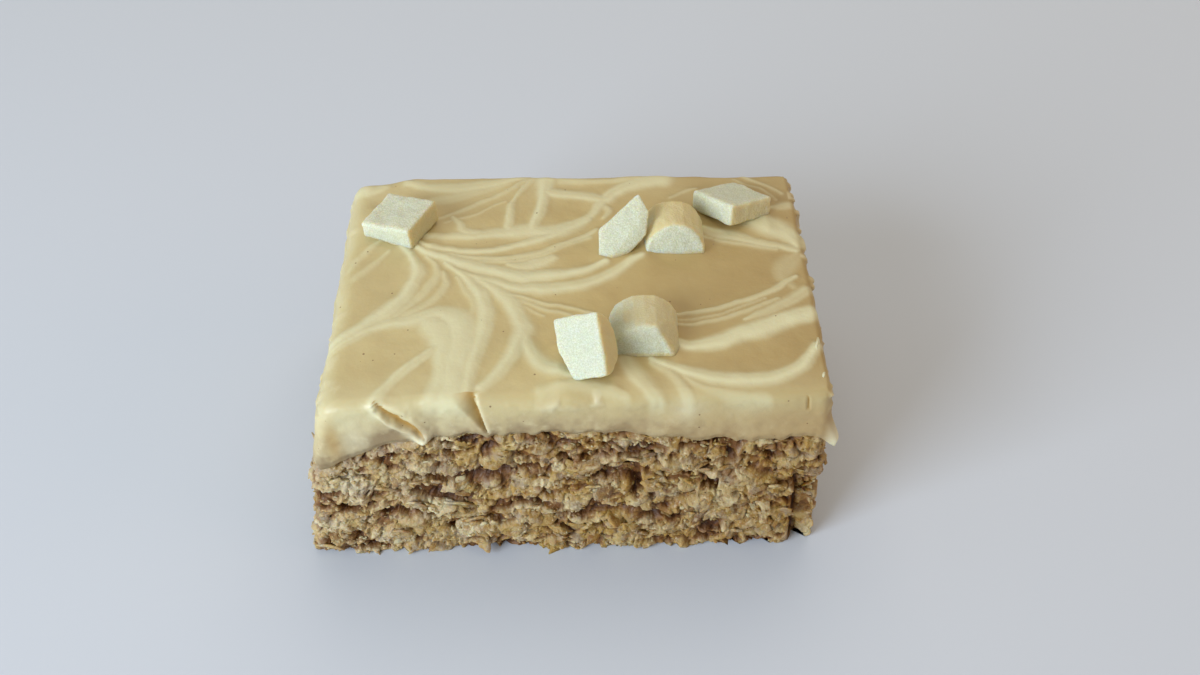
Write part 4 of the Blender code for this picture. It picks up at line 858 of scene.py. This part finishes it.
def white_chocolate():
    """White chocolate, snapped. The eye sees a pale waxy cream that light sinks into, with a
    powdery bloom in fine grains, and a warm tan where icing has smeared it and, as painted shade
    and painted light, on faces turned one way."""
    made, tree, shader, mm = new_material("white chocolate", 0.55, 0.7, (2.6, 1.9, 0.9))
    smear = add(tree, "Attribute", {}, "Fac", attribute_name="smear")
    dust = add(tree, "TexNoise", {"Vector": mm, "Scale": 1 / 0.22, "Detail": 3.0})
    dust = add(tree, "ValToRGB", {0: dust}, stops=((0.4, 0.0), (0.65, 1.0)))
    colour = add(tree, "Mix", {0: dust, 6: "#C5C9AC", 7: "#D8DDC9"}, 2, data_type="RGBA")
    # The smear share paints a warm tan: icing below the wet level, and painted shade and light on faces
    # turned one way.
    colour = add(tree, "Mix", {0: smear, 6: colour, 7: "#D5C48B"}, 2, data_type="RGBA")
    powder = add(tree, "TexNoise", {"Vector": mm, "Scale": 1 / 0.35, "Detail": 4.0})
    normal = add(tree, "Bump", {"Height": powder, "Distance": 0.13 * TO_METRES})
    tree.links.new(colour, shader.inputs["Base Color"])
    tree.links.new(normal, shader.inputs["Normal"])
    return made


def chocolate_piece(node, seed, direction, amount):
    """A piece from its solid: meshed evenly, then moved along its normals by three noises. Faces
    turned towards the direction are painted warm tan, by the amount: painted shade on most pieces,
    partly with icing smeared on, and painted light on the front half. What stands in the icing
    carries icing."""
    made = bpy.data.objects.new(node.replace("chunk", "chocolate"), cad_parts[node].data.copy())
    bpy.context.scene.collection.objects.link(made)
    even = made.modifiers.new("even", "REMESH")
    even.mode = "VOXEL"
    even.voxel_size = VOXEL * TO_METRES
    mesh = bpy.data.meshes.new_from_object(made.evaluated_get(bpy.context.evaluated_depsgraph_get()))
    made.modifiers.clear()
    made.data = mesh
    points, normals = np.zeros(len(mesh.vertices) * 3), np.zeros(len(mesh.vertices) * 3)
    mesh.vertices.foreach_get("co", points)
    mesh.vertex_normals.foreach_get("vector", normals)
    points, normals = points.reshape(-1, 3) / TO_METRES, normals.reshape(-1, 3)
    dents = layered(points, (0.14, 2.6, seed), (0.07, 1.0, seed + 1), (0.035, 0.5, seed + 2))
    points = points + normals * dents[:, None]
    mesh.vertices.foreach_set("co", (points * TO_METRES).ravel())
    # Painted shade and light: faces turned towards the direction get the warm tan; below the wet level it
    # is icing.
    facing = normals @ np.array(direction) + 0.35 * noise(points, 2.4, seed + 3)
    wet = smooth_step(WET_LEVEL + 0.3 * noise(points, 1.6, seed + 4) - points[:, 2], 0.0, 0.6)
    smear = np.maximum(amount * smooth_step(facing, 0.0, 0.5), 0.8 * wet)
    layer = mesh.attributes.new("smear", "FLOAT", "POINT")
    layer.data.foreach_set("value", np.clip(smear, 0.0, 1.0).astype(np.float32))
    mesh.update()
    mesh.shade_smooth()
    mesh.materials.clear()
    mesh.materials.append(chocolate_look)
    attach(made, "root")
    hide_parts(node)


chocolate_look = white_chocolate()
# Each piece: its seed, then the direction and amount of its warm tan. On the back left, back right, wedge
# and cube it is painted shade on the sides turned from the light; on the back half it tints the top and
# back; on the front half it is painted light on the top that the cube shades.
chocolate_piece("chunk_back_left", 71, (0.95, -0.3, -0.5), 0.6)
chocolate_piece("chunk_back_right", 76, (0.95, -0.3, -0.5), 0.6)
chocolate_piece("chunk_back_half", 81, (0.2, 0.7, 0.7), 0.8)
chocolate_piece("chunk_back_wedge", 86, (0.8, 0.1, -0.6), 0.4)
chocolate_piece("chunk_front_cube", 91, (0.95, -0.2, -0.1), 0.8)
chocolate_piece("chunk_front_half", 96, (0.4, 0.4, 0.6), 0.6)


# Icing bits
# Four crumbs and curls of the same icing that the knife has left on the rims of the cut, two at
# the right and two at the broken corner. They stick to the rim by their own fat.
bits = np.array((  # x, y, z, then length, width and thickness, then the way its face looks
    (39.7, -17.6, 34.9, 3.4, 1.3, 1.0, 0.9, -0.2, 0.5),
    (40.2, -23.4, 34.0, 2.8, 2.0, 1.2, 0.9, -0.3, 0.4),
    (-36.6, 27.0, 33.9, 4.0, 3.0, 1.6, -0.2, 0.1, 1.0),
    (-34.6, 28.0, 34.0, 3.0, 2.0, 1.4, -0.1, 0.3, 1.0),
))
facing = bits[:, 6:] / np.linalg.norm(bits[:, 6:], axis=1)[:, None]
looks = {label: np.full(len(bits), value) for label, value in
         (("cream", 1.0), ("cut", 0.0), ("low", 0.0), ("pale", 0.4))}
crumbled = scatter("icing_bits", bits[:, :3], facing, bits[:, 3:6], looks, seed=105,
                   material=icing_look, around=12, wobble=0.3, bend=0.3)


# Floor and light
# A plain pale floor and plain soft studio light: a large cool light at the front left, a wide
# warm one overhead, a weak warm one at the right, and an even fill.
# The floor is matt, and the eye sees an even, cool, pale ground.
FLOOR_HALF = 1500.0
floor_look, _, floor_shader, _ = new_material("pale floor", 0.6, 0.0, (1.0, 1.0, 1.0))
floor_shader.inputs["Base Color"].default_value = linear("#CCD5E0")
corners = FLOOR_HALF * np.array(((-1.0, -1.0, 0.0), (1.0, -1.0, 0.0), (1.0, 1.0, 0.0), (-1.0, 1.0, 0.0)))
floor = mesh_piece("floor", corners, np.array(((0, 1, 2, 3),)), {}, floor_look)


def soft_light(name, place, size, power, colour):
    """A square light, its place and size in metres, that faces the slice: tilted and turned by
    the angles of the line from there to its place."""
    light = bpy.data.lights.new(name, "AREA")
    light.size = size
    light.energy = power
    light.color = linear(colour)[:3]
    lamp = bpy.data.objects.new(name, light)
    lamp.location = place
    x, y, z = np.array(place) - (0.0, 0.0, 0.02)
    lamp.rotation_euler = (math.atan2(math.hypot(x, y), z), 0.0, math.atan2(y, x) + math.pi / 2)
    bpy.context.scene.collection.objects.link(lamp)


soft_light("cool front left", (-0.62, -0.55, 0.36), 0.5, 9.0, "#E8F2FF")
soft_light("warm overhead", (0.1, 0.5, 0.8), 0.9, 3.0, "#FFEDD4")
soft_light("warm right", (0.6, -0.15, 0.25), 0.4, 0.6, "#FFC896")
world = bpy.data.worlds.new("even fill")
world.use_nodes = True
background = world.node_tree.nodes["Background"]
background.inputs["Color"].default_value = linear("#EAE6DF")
background.inputs["Strength"].default_value = 0.43
bpy.context.scene.world = world
bpy.context.scene.view_settings.view_transform = "Standard"

# The camera at the photograph's viewing angle: its three axes, and its place in metres.
CAMERA_RIGHT = (0.99965969, -0.02575599, -0.00413846)
CAMERA_UP = (0.02036133, 0.67121769, 0.74098059)
CAMERA_BACK = (-0.01630688, -0.74081269, 0.67151369)
CAMERA_PLACE = (0.001594, -0.179133, 0.184509)
lens = bpy.data.cameras.new("camera")
lens.lens = 41.76
lens.sensor_width = 36.0
lens.sensor_fit = "HORIZONTAL"
lens.clip_start = 0.01
camera = bpy.data.objects.new("camera", lens)
bpy.context.scene.collection.objects.link(camera)
axes = np.stack((CAMERA_RIGHT, CAMERA_UP, CAMERA_BACK, CAMERA_PLACE), axis=1)
camera.matrix_world = Matrix(np.vstack((axes, (0.0, 0.0, 0.0, 1.0))))
bpy.context.scene.camera = camera
